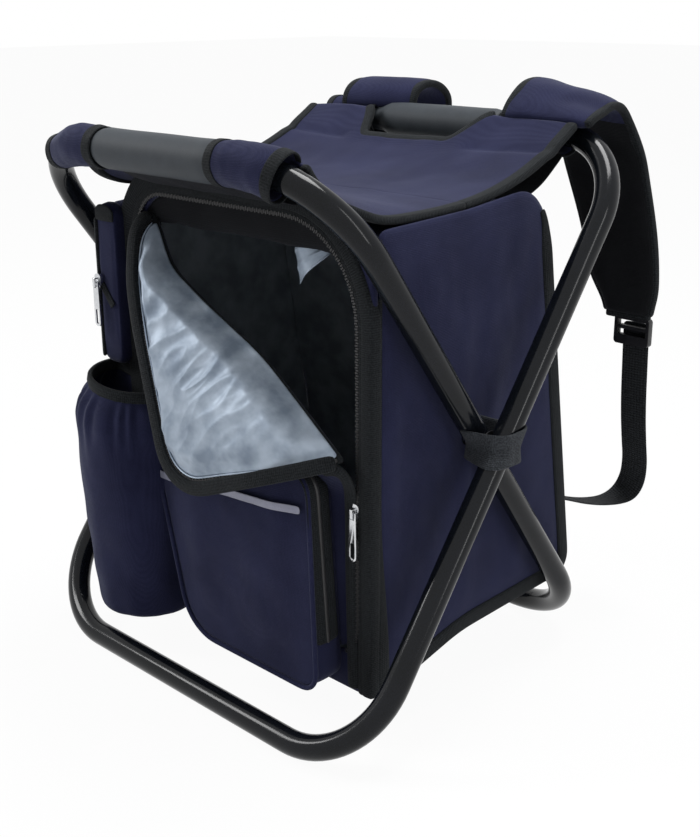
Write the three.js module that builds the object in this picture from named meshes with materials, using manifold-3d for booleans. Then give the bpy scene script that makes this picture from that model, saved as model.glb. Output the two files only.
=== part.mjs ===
import * as THREE from 'three';
import { mergeVertices } from 'three/addons/utils/BufferGeometryUtils.js';
import Module from 'manifold-3d';

// Folding cooler stool: two bent-tube loops cross as a scissor frame, a fabric seat
// hangs between their top bars, and an insulated bag hangs inside the frame.
// Millimetres, +Z up, X across the stool, the front at -Y. The origin lies on the
// floor under the middle of the front floor rail.

const wasm = await Module();
wasm.setup();

// Driving dimensions, in millimetres unless the name says otherwise

const clearance = 0.3;
const cutOverrun = 20;

const tube = { diameter: 19, wall: 1.2, innerBend: 74, outerBend: 69.5, jointSlit: 0.6 };
const tubeSides = 16;
const bendSteps = 7;

const legs = { pitch: 508, railSpan: 301.4, sideClearance: 3.8 };

const rivet = { shankRadius: 3.2, headRadius: 6.5, headHeight: 1.6, washerRadius: 9, washerThickness: 0.9 };

const spigot = { length: 60, wall: 1.5 };

const grip = { diameter: 29, endMargin: 2 };
const gripSides = 20;

const sleeve = { thickness: 1.5, cutoutHalf: 63, reach: 131, shift: -4.5 };
const sleeveSteps = 7;

const bag = {
  halfWidth: 150,
  frontY: -97,
  rearBottomY: 143,
  rearTopY: 89,
  frontBottomZ: 33,
  middleBottomZ: 54,
  rearBottomZ: 58,
  wall: 5,
  lining: 1,
  bottomSplitRise: 24,
  topSplitY: 40,
  bindingWidth: 10,
  bindingThickness: 1.2,
};
const bagRadii = { frontBottom: 8, middleBottom: 160, rearBottom: 14, rearTop: 34, frontTop: 6, middleTop: 90 };

const seat = {
  halfWidth: 140,
  sag: 48,
  thickness: 6,
  edgeThickness: 3,
  endRiseShare: 0.62,
  cutoutDepth: 16,
  cutoutRadius: 12,
  seamInset: 26,
  seamWidth: 7,
  seamDepth: 1.6,
};
const seatLowShares = { centre: 0, edge: -0.33 };
const seatPowers = { rear: 2.5, frontCentre: 2.5, frontEdge: 3.5 };
const seatCells = { across: 16, along: 30 };

const bagTop = { frontRecess: 15.5, middleRecess: 10.5, rearRise: 1, sideFrontRecess: 3.5, sideRearRise: 9 };

const door = {
  leftX: -98,
  rightX: 137,
  bottomRise: 29,
  topDrop: 8,
  zipGap: 1,
  rightTopRadius: 68,
  leftTopRadius: 30,
  bottomRadius: 28,
  thickness: 5,
};
const surround = { topRecess: -5.5, topRadius: 45, bottomRadius: 10 };

const fold = {
  startX: -90,
  startDrop: 10.3,
  endDrop: 158.3,
  startOut: 6,
  endOut: 23,
  flapThickness: 4,
  liftDegrees: 8,
  bulgeReach: 38,
  bulgeStart: 30,
  bulgeEnd: 2,
};

const mainZip = { tapeWidth: 7.4, tapeThickness: 1.2, sliderDrop: 199 };

const slider = {
  width: 9,
  length: 13,
  height: 3.4,
  bridgeWidth: 3,
  bridgeHeight: 3.9,
  bridgeLength: 7.4,
  bridgeBar: 1,
};
const pull = { length: 37, width: 7.6, thickness: 1.5, barWidth: 1.5, slotWidth: 3.6, slotLength: 12, rimWidth: 2 };

const frontPocket = {
  rightX: 110,
  leftTopX: -52,
  leftBottomX: -24,
  bottomRise: 6,
  height: 166,
  bottomDepth: 30,
  topDepth: 24,
  cornerRadius: 18,
  leftRadius: 40,
  zipWidth: 10,
  zipInset: 7,
  zipThickness: 1.2,
  zipLength: 150,
  sliderX: 24,
  stripDrop: 34,
  stripHeight: 8,
  stripThickness: 0.8,
  stripInset: 4,
};

const bottlePocket = {
  centreX: -103,
  centreY: -106,
  bottomRadius: 34,
  bellyRadius: 50,
  rimRadius: 37,
  bottomZ: 30,
  height: 196,
  wall: 2.5,
  rimHeight: 10,
  rimThickness: 2.4,
};
const bottleHeightShares = [0, 0.06, 0.2, 0.5, 0.82, 1];
const bottleSwellShares = [0, 0.45, 0.8, 1, 0.86, 0];
const bottleSides = 28;

const sidePocket = {
  outerX: -146,
  width: 28,
  bottomZ: 236,
  height: 124,
  depth: 13,
  topRadius: 12,
  bottomRadius: 6,
  zipLength: 26,
  zipWidth: 7,
  zipThickness: 1.2,
  zipDrop: 65,
  zipInset: 15,
  zipSlopeDegrees: -50,
  sliderInset: 9,
  sliderDrop: 56,
};

const hanger = {
  thickness: 2,
  frontHalfWidth: 82,
  rearHalfWidth: 112,
  sleeveTurnDegrees: -49,
  rearLandDegrees: 50,
};

const pivotStrap = { below: 12, above: 13, thickness: 1.8, slack: 0.5, webGap: 0.5 };

const pad = {
  thickness: 10,
  edgeThickness: 4,
  topWidth: 80,
  tipWidth: 64,
  rightTopX: 113,
  leftTopX: 79,
  tipX: 151,
  rollDegrees: 12,
};
const padRollShares = { start: 0.02, full: 0.12, fading: 0.3, gone: 0.5 };
const padDriftShares = { start: 0.25, end: 0.95 };
const padRoute = [
  [139.5, 441.2], [150.7, 442.9], [166, 448.6], [185, 445.5], [199, 431],
  [206, 405], [210, 370], [212, 335], [211.5, 300], [210, 268],
];
const webbing = { width: 25, thickness: 1.6 };
const webbingRoute = [
  [158, 214.2, 262], [159.5, 214.2, 241], [163, 214.5, 220], [166, 215.5, 198], [168, 218.5, 176],
  [168.5, 225, 155], [167, 233, 134],
  [162, 238, 115], [155, 234, 101], [148, 218, 96], [142, 195, 100], [139, 170, 108], [137, 148, 117],
  [137, 133.6, 123],
];
const buckle = { width: 33, height: 24, thickness: 6, slotWidth: 27, slotHeight: 5, barHeight: 3, topGap: 1.5 };

// Values worked out from the driving dimensions

const tubeRadius = tube.diameter / 2;
const cornerRadius = tubeRadius / Math.cos(Math.PI / tubeSides);
const leanAngle = Math.asin(legs.railSpan / legs.pitch);
const halfPitch = legs.pitch / 2;
const pivotZ = tubeRadius + halfPitch * Math.cos(leanAngle);
const barY = halfPitch * Math.sin(leanAngle);
const barZ = pivotZ + halfPitch * Math.cos(leanAngle);
const innerHalfWidth = bag.halfWidth + legs.sideClearance + cornerRadius;
const outerHalfWidth = innerHalfWidth + 2 * cornerRadius + rivet.washerThickness + 2 * clearance;
const innerLoop = { halfWidth: innerHalfWidth, bend: tube.innerBend };
const outerLoop = { halfWidth: outerHalfWidth, bend: tube.outerBend };
const gripRadius = grip.diameter / 2;
const sleeveInner = gripRadius / Math.cos(Math.PI / gripSides) + clearance;
const sleeveOuter = sleeveInner + sleeve.thickness;
const sleeveCorner = sleeveOuter / Math.cos(Math.PI / tubeSides);
const seatLowZ = barZ - (seat.sag - seat.endRiseShare * sleeveCorner);
const bagInnerHalf = bag.halfWidth - bag.wall;
const frontInnerY = bag.frontY + bag.wall;
const bagFaceX = bag.halfWidth + clearance + bag.bindingThickness + clearance;

// Finishes: colour, roughness and metalness as the photograph shows them

const finishes = {
  paintedSteel: { color: 0x15171b, roughness: 0.25, metalness: 0.5 },
  navyCloth: { color: 0x2a2b49, roughness: 0.85, metalness: 0 },
  charcoalCloth: { color: 0x2a2d30, roughness: 0.9, metalness: 0 },
  foam: { color: 0x41464b, roughness: 0.7, metalness: 0 },
  silverFoil: { color: 0xa9b6c3, roughness: 0.35, metalness: 0.3 },
  darkLining: { color: 0x26292d, roughness: 0.5, metalness: 0.1 },
  chrome: { color: 0xc4c7cc, roughness: 0.15, metalness: 1 },
  nylon: { color: 0x1c1d20, roughness: 0.5, metalness: 0 },
  reflective: { color: 0x83859a, roughness: 0.4, metalness: 0.2 },
};

function named(name, geometry, finish) {
  const mesh = new THREE.Mesh(geometry, new THREE.MeshStandardMaterial(finishes[finish]));
  mesh.name = name;
  return mesh;
}

function groupOf(...parts) {
  const group = new THREE.Group();
  group.add(...parts);
  return group;
}

// Joining and cutting closed bodies

function solidOf(geometry) {
  const bare = new THREE.BufferGeometry();
  bare.setAttribute('position', geometry.getAttribute('position').clone());
  if (geometry.index) {
    bare.setIndex(geometry.index.clone());
  }
  const merged = mergeVertices(bare);
  const mesh = new wasm.Mesh({
    numProp: 3,
    vertProperties: new Float32Array(merged.getAttribute('position').array),
    triVerts: new Uint32Array(merged.index.array),
  });
  return new wasm.Manifold(mesh);
}

function geometryOf(solid) {
  const mesh = solid.getMesh();
  const geometry = new THREE.BufferGeometry();
  geometry.setAttribute('position', new THREE.BufferAttribute(new Float32Array(mesh.vertProperties), 3));
  geometry.setIndex(new THREE.BufferAttribute(new Uint32Array(mesh.triVerts), 1));
  return geometry;
}

function cut(body, ...tools) {
  const solid = tools.reduce((left, tool) => left.subtract(solidOf(tool)), solidOf(body));
  return geometryOf(solid);
}

function join(body, ...others) {
  const solid = others.reduce((left, other) => left.add(solidOf(other)), solidOf(body));
  return geometryOf(solid);
}

function keep(body, region) {
  return geometryOf(solidOf(body).intersect(solidOf(region)));
}

// Outlines: a corner is a point with the radius that rounds it, taken anticlockwise

function corner(x, y, radius = 0) {
  return { at: new THREE.Vector2(x, y), radius };
}

function neighbours(corners, index) {
  const count = corners.length;
  const before = corners[(index + count - 1) % count].at;
  const after = corners[(index + 1) % count].at;
  return { before, after };
}

function insetCorners(corners, distance) {
  return corners.map(({ at, radius }, index) => {
    const { before, after } = neighbours(corners, index);
    const arriving = at.clone().sub(before).normalize();
    const leaving = after.clone().sub(at).normalize();
    const first = new THREE.Vector2(-arriving.y, arriving.x);
    const second = new THREE.Vector2(-leaving.y, leaving.x);
    const shift = first.clone().add(second).multiplyScalar(distance / (1 + first.dot(second)));
    const moved = at.clone().add(shift);
    return corner(moved.x, moved.y, Math.max(radius - distance, 0));
  });
}

// The arc that rounds one corner of an outline
function fillet(corners, index) {
  const { at: point, radius } = corners[index];
  const { before, after } = neighbours(corners, index);
  const back = before.clone().sub(point).normalize();
  const onward = after.clone().sub(point).normalize();
  const halfTurn = Math.acos(THREE.MathUtils.clamp(back.dot(onward), -1, 1)) / 2;
  const reach = radius / Math.tan(halfTurn);
  const inward = back.clone().add(onward).normalize();
  return {
    start: point.clone().addScaledVector(back, reach),
    end: point.clone().addScaledVector(onward, reach),
    centre: point.clone().addScaledVector(inward, radius / Math.sin(halfTurn)),
    clockwise: back.cross(onward) > 0,
  };
}

function drawCorners(path, corners) {
  corners.forEach(({ radius }, index) => {
    const { start, end, centre, clockwise } = fillet(corners, index);
    if (index === 0) {
      path.moveTo(start.x, start.y);
    } else {
      path.lineTo(start.x, start.y);
    }
    if (radius > 0) {
      const from = Math.atan2(start.y - centre.y, start.x - centre.x);
      const to = Math.atan2(end.y - centre.y, end.x - centre.x);
      path.absarc(centre.x, centre.y, radius, from, to, clockwise);
    }
  });
  path.closePath();
  return path;
}

function outline(corners) {
  return drawCorners(new THREE.Shape(), corners);
}

function rectangleCorners(lowX, highX, lowY, highY, radius = 0) {
  return [
    corner(lowX, lowY, radius), corner(highX, lowY, radius),
    corner(highX, highY, radius), corner(lowX, highY, radius),
  ];
}

function extrude(shape, depth, curveSegments = 4) {
  return new THREE.ExtrudeGeometry(shape, { depth, bevelEnabled: false, curveSegments });
}

// A plate whose outline is drawn in X and Z, from the plane y = backY towards the front
function frontPlate(shape, backY, depth, curveSegments) {
  return extrude(shape, depth, curveSegments).rotateX(Math.PI / 2).translate(0, backY, 0);
}

// A plate whose outline is drawn in Y and Z, from the plane x = lowX towards +X
function sidePlate(shape, lowX, depth, curveSegments) {
  const plate = extrude(shape, depth, curveSegments);
  return plate.rotateX(Math.PI / 2).rotateZ(Math.PI / 2).translate(lowX, 0, 0);
}

function block(low, high) {
  const size = new THREE.Vector3().subVectors(high, low);
  const centre = new THREE.Vector3().addVectors(low, high).multiplyScalar(0.5);
  return new THREE.BoxGeometry(size.x, size.y, size.z).translate(centre.x, centre.y, centre.z);
}

function at(x, y, z) {
  return new THREE.Vector3(x, y, z);
}

// A closed body through rings of equal point counts, with a fan over each end ring
function loft(rings) {
  const count = rings[0].length;
  const positions = rings.flat().flatMap((point) => [point.x, point.y, point.z]);
  const index = [];
  for (let ring = 0; ring < rings.length - 1; ring += 1) {
    for (let side = 0; side < count; side += 1) {
      const next = (side + 1) % count;
      const low = ring * count;
      const high = low + count;
      index.push(low + side, low + next, high + next);
      index.push(low + side, high + next, high + side);
    }
  }
  const last = (rings.length - 1) * count;
  for (let side = 1; side < count - 1; side += 1) {
    index.push(0, side + 1, side);
    index.push(last, last + side, last + side + 1);
  }
  const geometry = new THREE.BufferGeometry();
  geometry.setAttribute('position', new THREE.Float32BufferAttribute(positions, 3));
  geometry.setIndex(index);
  return geometry;
}

// Bent tube: a loop of straight runs and quarter bends, walked from the middle of its top bar

class StationPath extends THREE.Curve {
  constructor(stations) {
    super();
    this.stations = stations;
  }

  between(share, key, target) {
    const place = share * (this.stations.length - 1);
    const first = Math.min(Math.floor(place), this.stations.length - 2);
    return target.lerpVectors(this.stations[first][key], this.stations[first + 1][key], place - first);
  }

  getPoint(share, target = new THREE.Vector3()) {
    return this.between(share, 'point', target);
  }

  getPointAt(share, target = new THREE.Vector3()) {
    return this.between(share, 'point', target);
  }

  getTangentAt(share, target = new THREE.Vector3()) {
    return this.between(share, 'tangent', target).normalize();
  }
}

function loopRuns(loop) {
  const across = loop.halfWidth - loop.bend;
  const along = 2 * (halfPitch - loop.bend);
  const bend = (Math.PI / 2) * loop.bend;
  return [across, bend, along, bend, 2 * across, bend, along, bend, across];
}

function loopLength(loop) {
  return loopRuns(loop).reduce((sum, length) => sum + length, 0);
}

function loopStation(loop, distance) {
  const point = new THREE.Vector3(0, 0, halfPitch);
  let heading = 0;
  let left = distance;
  loopRuns(loop).forEach((length, index) => {
    const step = Math.min(Math.max(left, 0), length);
    left -= length;
    if (index % 2 === 0) {
      point.x += step * Math.cos(heading);
      point.z -= step * Math.sin(heading);
      return;
    }
    const turned = heading + step / loop.bend;
    point.x += loop.bend * (Math.sin(turned) - Math.sin(heading));
    point.z += loop.bend * (Math.cos(turned) - Math.cos(heading));
    heading = turned;
  });
  return { point, tangent: new THREE.Vector3(Math.cos(heading), 0, -Math.sin(heading)) };
}

function wholeLoopStations(loop) {
  const distances = [tube.jointSlit / 2];
  let reached = 0;
  loopRuns(loop).forEach((length, index) => {
    const steps = index % 2 === 0 ? 1 : bendSteps;
    for (let step = 1; step <= steps; step += 1) {
      distances.push(reached + (length * step) / steps);
    }
    reached += length;
  });
  distances[distances.length - 1] -= tube.jointSlit / 2;
  return distances.map((distance) => loopStation(loop, distance));
}

function partLoopStations(loop, from, to, steps) {
  const total = loopLength(loop);
  return Array.from({ length: steps + 1 }, (_, step) => {
    const distance = from + ((to - from) * step) / steps;
    return loopStation(loop, (distance + total) % total);
  });
}

function polygonPoints(radius, sides, turn) {
  return Array.from({ length: sides }, (_, side) => {
    const angle = turn + ((side + 0.5) * 2 * Math.PI) / sides;
    return new THREE.Vector2(radius * Math.cos(angle), radius * Math.sin(angle));
  });
}

// The flats of a faceted tube lie on its true outer circle, one of them square to the turn given
function tubeSection(outerRadius, innerRadius, sides, turn) {
  const shape = new THREE.Shape(polygonPoints(outerRadius / Math.cos(Math.PI / sides), sides, turn));
  shape.holes.push(new THREE.Path(polygonPoints(innerRadius, sides, turn)));
  return shape;
}

function sweep(stations, shape) {
  const extrudePath = new StationPath(stations);
  return new THREE.ExtrudeGeometry(shape, { steps: stations.length - 1, extrudePath, bevelEnabled: false });
}

function rodAlongX(radius, lowX, highX, sides) {
  const rod = new THREE.CylinderGeometry(radius, radius, highX - lowX, sides);
  return rod.rotateZ(Math.PI / 2).translate((lowX + highX) / 2, 0, 0);
}

function frameTube(name, loop, lean) {
  const section = tubeSection(tubeRadius, tubeRadius - tube.wall, tubeSides, lean);
  const body = sweep(wholeLoopStations(loop), section);
  const hole = rivet.shankRadius + clearance;
  const reach = loop.halfWidth + tube.diameter;
  const drilled = cut(body, rodAlongX(hole, -reach, reach, 2 * tubeSides));
  return named(name, drilled, 'paintedSteel');
}

function joinSpigot(name, lean) {
  const outer = (tubeRadius - tube.wall) * Math.cos(Math.PI / tubeSides) - clearance;
  const half = spigot.length / 2;
  const stations = [-half, half].map((x) => ({ point: at(x, 0, halfPitch), tangent: at(1, 0, 0) }));
  const section = new THREE.Shape(polygonPoints(outer, tubeSides, lean));
  section.holes.push(new THREE.Path(polygonPoints(outer - spigot.wall, tubeSides, lean)));
  return named(name, sweep(stations, section), 'paintedSteel');
}

function foamGrip(name, loop) {
  const half = loop.halfWidth - loop.bend - grip.endMargin;
  const stations = [-half, half].map((x) => ({ point: at(x, 0, halfPitch), tangent: at(1, 0, 0) }));
  const section = tubeSection(gripRadius, cornerRadius + clearance, gripSides, 0);
  return named(name, sweep(stations, section), 'foam');
}

function barSleeve(name, loop, side) {
  const near = sleeve.shift + side * sleeve.cutoutHalf;
  const far = sleeve.shift + side * sleeve.reach;
  const stations = partLoopStations(loop, Math.min(near, far), Math.max(near, far), sleeveSteps);
  const section = tubeSection(sleeveOuter, sleeveInner / Math.cos(Math.PI / tubeSides), tubeSides, 0);
  return named(name, sweep(stations, section), 'navyCloth');
}

function leaningGroup(lean, ...parts) {
  const group = groupOf(...parts);
  group.position.set(0, 0, pivotZ);
  group.rotation.x = lean;
  return group;
}

// Rivet through both tubes: an inner head, the shank, and a domed outer head
function pivotRivet(name, side) {
  const low = innerHalfWidth - cornerRadius - clearance;
  const high = outerHalfWidth + cornerRadius + clearance;
  const { shankRadius, headRadius, headHeight } = rivet;
  const crown = headHeight / 2;
  const profile = [
    [0, low - headHeight], [headRadius - crown, low - headHeight], [headRadius, low - crown],
    [headRadius, low], [shankRadius, low], [shankRadius, high], [headRadius, high],
    [headRadius, high + crown], [headRadius - crown, high + headHeight], [0, high + headHeight],
  ].map(([radius, along]) => new THREE.Vector2(radius, along));
  const body = new THREE.LatheGeometry(profile, 2 * tubeSides).rotateZ(-Math.PI / 2);
  const turned = side > 0 ? body : body.rotateZ(Math.PI);
  return named(name, turned, 'chrome');
}

function pivotWasher(name, side) {
  const low = innerHalfWidth + cornerRadius + clearance;
  const high = low + rivet.washerThickness;
  const hole = rivet.shankRadius + clearance;
  const { washerRadius } = rivet;
  const profile = [[hole, low], [washerRadius, low], [washerRadius, high], [hole, high], [hole, low]];
  const points = profile.map(([radius, along]) => new THREE.Vector2(radius, along));
  const body = new THREE.LatheGeometry(points, 2 * tubeSides).rotateZ(-Math.PI / 2);
  return named(name, side > 0 ? body : body.rotateZ(Math.PI), 'nylon');
}

function innerFrame() {
  return leaningGroup(
    leanAngle,
    frameTube('inner_frame_tube', innerLoop, leanAngle),
    joinSpigot('inner_frame_spigot', leanAngle),
    foamGrip('front_foam_grip', innerLoop),
    barSleeve('front_sleeve_left', innerLoop, -1),
    barSleeve('front_sleeve_right', innerLoop, 1),
    pivotRivet('pivot_rivet_right', 1),
    pivotRivet('pivot_rivet_left', -1),
    pivotWasher('pivot_washer_right', 1),
    pivotWasher('pivot_washer_left', -1),
  );
}

function outerFrame() {
  return leaningGroup(
    -leanAngle,
    frameTube('outer_frame_tube', outerLoop, -leanAngle),
    joinSpigot('outer_frame_spigot', -leanAngle),
    foamGrip('rear_foam_grip', outerLoop),
    barSleeve('rear_sleeve_left', outerLoop, -1),
    barSleeve('rear_sleeve_right', outerLoop, 1),
  );
}

// Bag: side panels in the Y-Z outline, and one wrap cut into bottom, back and top panels

function bagProfile(frontY, frontTopZ, middleTopZ, rearTopZ) {
  return [
    corner(frontY, bag.frontBottomZ, bagRadii.frontBottom),
    corner(0, bag.middleBottomZ, bagRadii.middleBottom),
    corner(bag.rearBottomY, bag.rearBottomZ, bagRadii.rearBottom),
    corner(bag.rearTopY, rearTopZ, bagRadii.rearTop),
    corner(0, middleTopZ, bagRadii.middleTop),
    corner(frontY, frontTopZ, bagRadii.frontTop),
  ];
}

const sideFrontY = frontInnerY + clearance;

const sideCorners = bagProfile(
  sideFrontY,
  seatLowZ - bagTop.sideFrontRecess,
  seatLowZ,
  seatLowZ + bagTop.sideRearRise,
);

const wrapCorners = bagProfile(
  bag.frontY,
  seatLowZ - bagTop.frontRecess,
  seatLowZ - bagTop.middleRecess,
  seatLowZ + bagTop.rearRise,
);

function sidePanel(name, side) {
  const lowX = side > 0 ? bagInnerHalf : -bag.halfWidth;
  return named(name, sidePlate(outline(sideCorners), lowX, bag.wall), 'navyCloth');
}

function edgeBinding(name, side) {
  const ring = outline(sideCorners);
  ring.holes.push(drawCorners(new THREE.Path(), insetCorners(sideCorners, bag.bindingWidth)));
  const lowX = side > 0 ? bag.halfWidth + clearance : -bag.halfWidth - clearance - bag.bindingThickness;
  return named(name, sidePlate(ring, lowX, bag.bindingThickness), 'charcoalCloth');
}

function profileShell(corners, halfWidth, wall, sideWall) {
  const outer = sidePlate(outline(corners), -halfWidth, 2 * halfWidth);
  const innerHalf = halfWidth - sideWall;
  const inner = sidePlate(outline(insetCorners(corners, wall)), -innerHalf, 2 * innerHalf);
  return cut(outer, inner);
}

function wrapPanels() {
  const half = bagInnerHalf - clearance;
  const band = profileShell(wrapCorners, half, bag.wall, -cutOverrun);
  const farX = bag.halfWidth + cutOverrun;
  const farY = bag.rearBottomY + cutOverrun;
  const farZ = barZ + cutOverrun;
  const splitZ = bag.rearBottomZ + bag.bottomSplitRise;
  const splitY = bag.topSplitY;
  const bottom = keep(band, block(at(-farX, sideFrontY, -cutOverrun), at(farX, farY, splitZ)));
  const back = keep(band, block(at(-farX, splitY + clearance, splitZ + clearance), at(farX, farY, farZ)));
  const top = keep(band, block(at(-farX, sideFrontY, pivotZ), at(farX, splitY, farZ)));
  return groupOf(
    named('bag_bottom_panel', bottom, 'navyCloth'),
    named('bag_back_panel', back, 'navyCloth'),
    named('bag_top_panel', top, 'navyCloth'),
  );
}

function coolerLining() {
  const inset = bag.wall + clearance;
  const half = bagInnerHalf - clearance;
  const shell = profileShell(insetCorners(wrapCorners, inset), half, bag.lining, bag.lining);
  const farX = bag.halfWidth + cutOverrun;
  const mouth = block(
    at(-farX, bag.frontY, -cutOverrun),
    at(farX, sideFrontY + bag.lining, barZ + cutOverrun),
  );
  return named('cooler_lining', cut(shell, mouth), 'darkLining');
}

// Front of the bag: surround, door below the fold, and the corner of the door folded down

const surroundTopZ = seatLowZ - surround.topRecess;
const doorTopZ = surroundTopZ - door.topDrop;
const doorBottomZ = bag.frontBottomZ + door.bottomRise;

function doorCorners(inset) {
  return insetCorners([
    corner(door.leftX, doorBottomZ, door.bottomRadius),
    corner(door.rightX, doorBottomZ, door.bottomRadius),
    corner(door.rightX, doorTopZ, door.rightTopRadius),
    corner(door.leftX, doorTopZ, door.leftTopRadius),
  ], inset);
}

const foldStart = at(fold.startX, bag.frontY - fold.startOut, doorTopZ - fold.startDrop);
const foldEnd = at(door.rightX - door.zipGap, bag.frontY - fold.endOut, doorTopZ - fold.endDrop);
const foldFlat = at(foldEnd.x - foldStart.x, 0, foldEnd.z - foldStart.z);
const foldAlong = foldFlat.clone().normalize();
const foldUp = at(-foldAlong.z, 0, foldAlong.x);

function foldPlace(along, up, y) {
  const place = foldStart.clone().addScaledVector(foldAlong, along).addScaledVector(foldUp, up);
  return place.setY(y);
}

function foldSlope() {
  return Math.atan2(foldFlat.z, foldFlat.x);
}

function bagSurround() {
  const low = bag.frontBottomZ;
  const shape = outline([
    corner(-bag.halfWidth, low, surround.bottomRadius),
    corner(bag.halfWidth, low, surround.bottomRadius),
    corner(bag.halfWidth, surroundTopZ, surround.topRadius),
    corner(-bag.halfWidth, surroundTopZ, surround.topRadius),
  ]);
  shape.holes.push(drawCorners(new THREE.Path(), doorCorners(0)));
  return named('bag_front_surround', frontPlate(shape, frontInnerY, bag.wall), 'navyCloth');
}

// Half of the plane above or below the fold, as a block turned to the fold's slope
function foldHalfPlane(above, gap) {
  const far = 2 * bag.halfWidth + door.rightX;
  const low = above ? gap : -far;
  const high = above ? far : -gap;
  const region = block(at(-far, -far, low), at(far, far, high));
  return region.rotateY(-foldSlope()).translate(foldStart.x, 0, foldStart.z);
}

function doorPanel() {
  const whole = frontPlate(outline(doorCorners(door.zipGap)), bag.frontY + door.thickness, door.thickness);
  const lower = keep(whole, foldHalfPlane(false, clearance));
  const length = foldFlat.length();
  const sunk = door.thickness / 2;
  const rings = [fold.bulgeStart, length - fold.bulgeEnd].map((along) => {
    const out = foldStart.y + ((foldEnd.y - foldStart.y) * along) / length + fold.flapThickness / 2 + clearance;
    return [
      foldPlace(along, -fold.bulgeReach, bag.frontY + sunk),
      foldPlace(along, -clearance, bag.frontY + sunk),
      foldPlace(along, -clearance, out),
    ];
  });
  return named('door_panel', join(lower, loft(rings)), 'navyCloth');
}

function doorFlap() {
  const whole = extrude(outline(doorCorners(door.zipGap)), fold.flapThickness);
  whole.rotateX(Math.PI / 2).translate(0, fold.flapThickness / 2, 0);
  const upper = keep(whole, foldHalfPlane(true, clearance));
  upper.translate(-foldStart.x, 0, -foldStart.z).rotateY(foldSlope()).rotateX(-Math.PI / 2);
  const mesh = named('door_flap', upper, 'silverFoil');
  const axis = foldEnd.clone().sub(foldStart).normalize();
  const lift = THREE.MathUtils.degToRad(fold.liftDegrees);
  const down = foldUp.clone().multiplyScalar(-Math.cos(lift)).add(at(0, -Math.sin(lift), 0));
  down.addScaledVector(axis, -down.dot(axis)).normalize();
  mesh.position.copy(foldStart);
  mesh.quaternion.setFromRotationMatrix(
    new THREE.Matrix4().makeBasis(axis, down, new THREE.Vector3().crossVectors(axis, down)),
  );
  return mesh;
}

function mainZipTape() {
  const ring = outline(doorCorners(-mainZip.tapeWidth));
  ring.holes.push(drawCorners(new THREE.Path(), doorCorners(0)));
  const tape = frontPlate(ring, bag.frontY - clearance, mainZip.tapeThickness);
  const farX = bag.halfWidth + cutOverrun;
  const lowEnd = block(
    at(-farX, bag.frontY - cutOverrun, 0),
    at(farX, bag.frontY + cutOverrun, doorBottomZ + door.bottomRadius),
  );
  return named('main_zip_tape', cut(tape, lowEnd), 'charcoalCloth');
}

// Zip slider, built with its back on y = 0, its length along Z and its bridge towards -Y
function sliderGeometry() {
  const halfWidth = slider.width / 2;
  const halfLength = slider.length / 2;
  const nose = slider.width / 3;
  const body = frontPlate(
    outline([
      corner(-halfWidth / 2, -halfLength, nose / 2), corner(halfWidth / 2, -halfLength, nose / 2),
      corner(halfWidth, halfLength, nose), corner(-halfWidth, halfLength, nose),
    ]),
    0,
    slider.height,
  );
  const half = slider.bridgeLength / 2;
  const round = slider.bridgeBar / 2;
  const shape = outline([
    corner(-half, -slider.height / 2), corner(half, -slider.height / 2),
    corner(half, slider.bridgeHeight, round), corner(-half, slider.bridgeHeight, round),
  ]);
  const gap = half - slider.bridgeBar;
  const eyeHigh = slider.bridgeHeight - slider.bridgeBar;
  shape.holes.push(drawCorners(new THREE.Path(), rectangleCorners(-gap, gap, clearance, eyeHigh)));
  const bridge = extrude(shape, slider.bridgeWidth);
  bridge.rotateX(Math.PI / 2).rotateZ(Math.PI / 2).rotateX(Math.PI / 2);
  bridge.translate(-slider.bridgeWidth / 2, -slider.height, 0);
  return join(body, bridge);
}

// Zip pull: a flat tab hanging from an eye, built around its hinge line along X
function pullGeometry() {
  const half = pull.width / 2;
  const top = pull.barWidth / 2;
  const bottom = top - pull.length;
  const eye = slider.bridgeWidth / 2 + clearance;
  const shoulder = eye + pull.barWidth;
  const shape = outline([
    corner(-half, bottom, half - clearance), corner(half, bottom, half - clearance),
    corner(shoulder, top, top), corner(-shoulder, top, top),
  ]);
  const eyeLow = -slider.bridgeLength / 2 - slider.bridgeBar;
  shape.holes.push(drawCorners(new THREE.Path(), rectangleCorners(-eye, eye, eyeLow, -top)));
  const slot = pull.slotWidth / 2;
  const slotLow = bottom + pull.rimWidth;
  shape.holes.push(drawCorners(
    new THREE.Path(),
    rectangleCorners(-slot, slot, slotLow, slotLow + pull.slotLength, slot - clearance),
  ));
  return frontPlate(shape, pull.thickness / 2, pull.thickness);
}

function zipSet(prefix, place, turn) {
  const body = named(`${prefix}_zip_slider`, sliderGeometry(), 'chrome');
  const tab = named(`${prefix}_zip_pull`, pullGeometry(), 'chrome');
  tab.position.set(0, -slider.height - (clearance + slider.bridgeHeight - slider.bridgeBar) / 2, 0);
  const group = groupOf(body, tab);
  group.position.copy(place);
  group.rotation.copy(turn);
  return group;
}

function mainZipSet() {
  const y = bag.frontY - clearance - mainZip.tapeThickness - clearance;
  const place = at(door.rightX - door.zipGap / 2, y, doorTopZ - mainZip.sliderDrop);
  return zipSet('main', place, new THREE.Euler(0, 0, 0));
}

// Front zip pocket: a shallow padded box whose front leans back a little towards the top

const pocketBottomZ = bag.frontBottomZ + frontPocket.bottomRise;
const pocketTopZ = pocketBottomZ + frontPocket.height;
const pocketBackY = bag.frontY - clearance;

function pocketShape(inset = 0) {
  const { rightX, leftTopX, leftBottomX, cornerRadius: round, leftRadius } = frontPocket;
  return outline(insetCorners([
    corner(leftBottomX, pocketBottomZ, leftRadius), corner(rightX, pocketBottomZ, round),
    corner(rightX, pocketTopZ, round), corner(leftTopX, pocketTopZ, round),
  ], inset));
}

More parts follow.
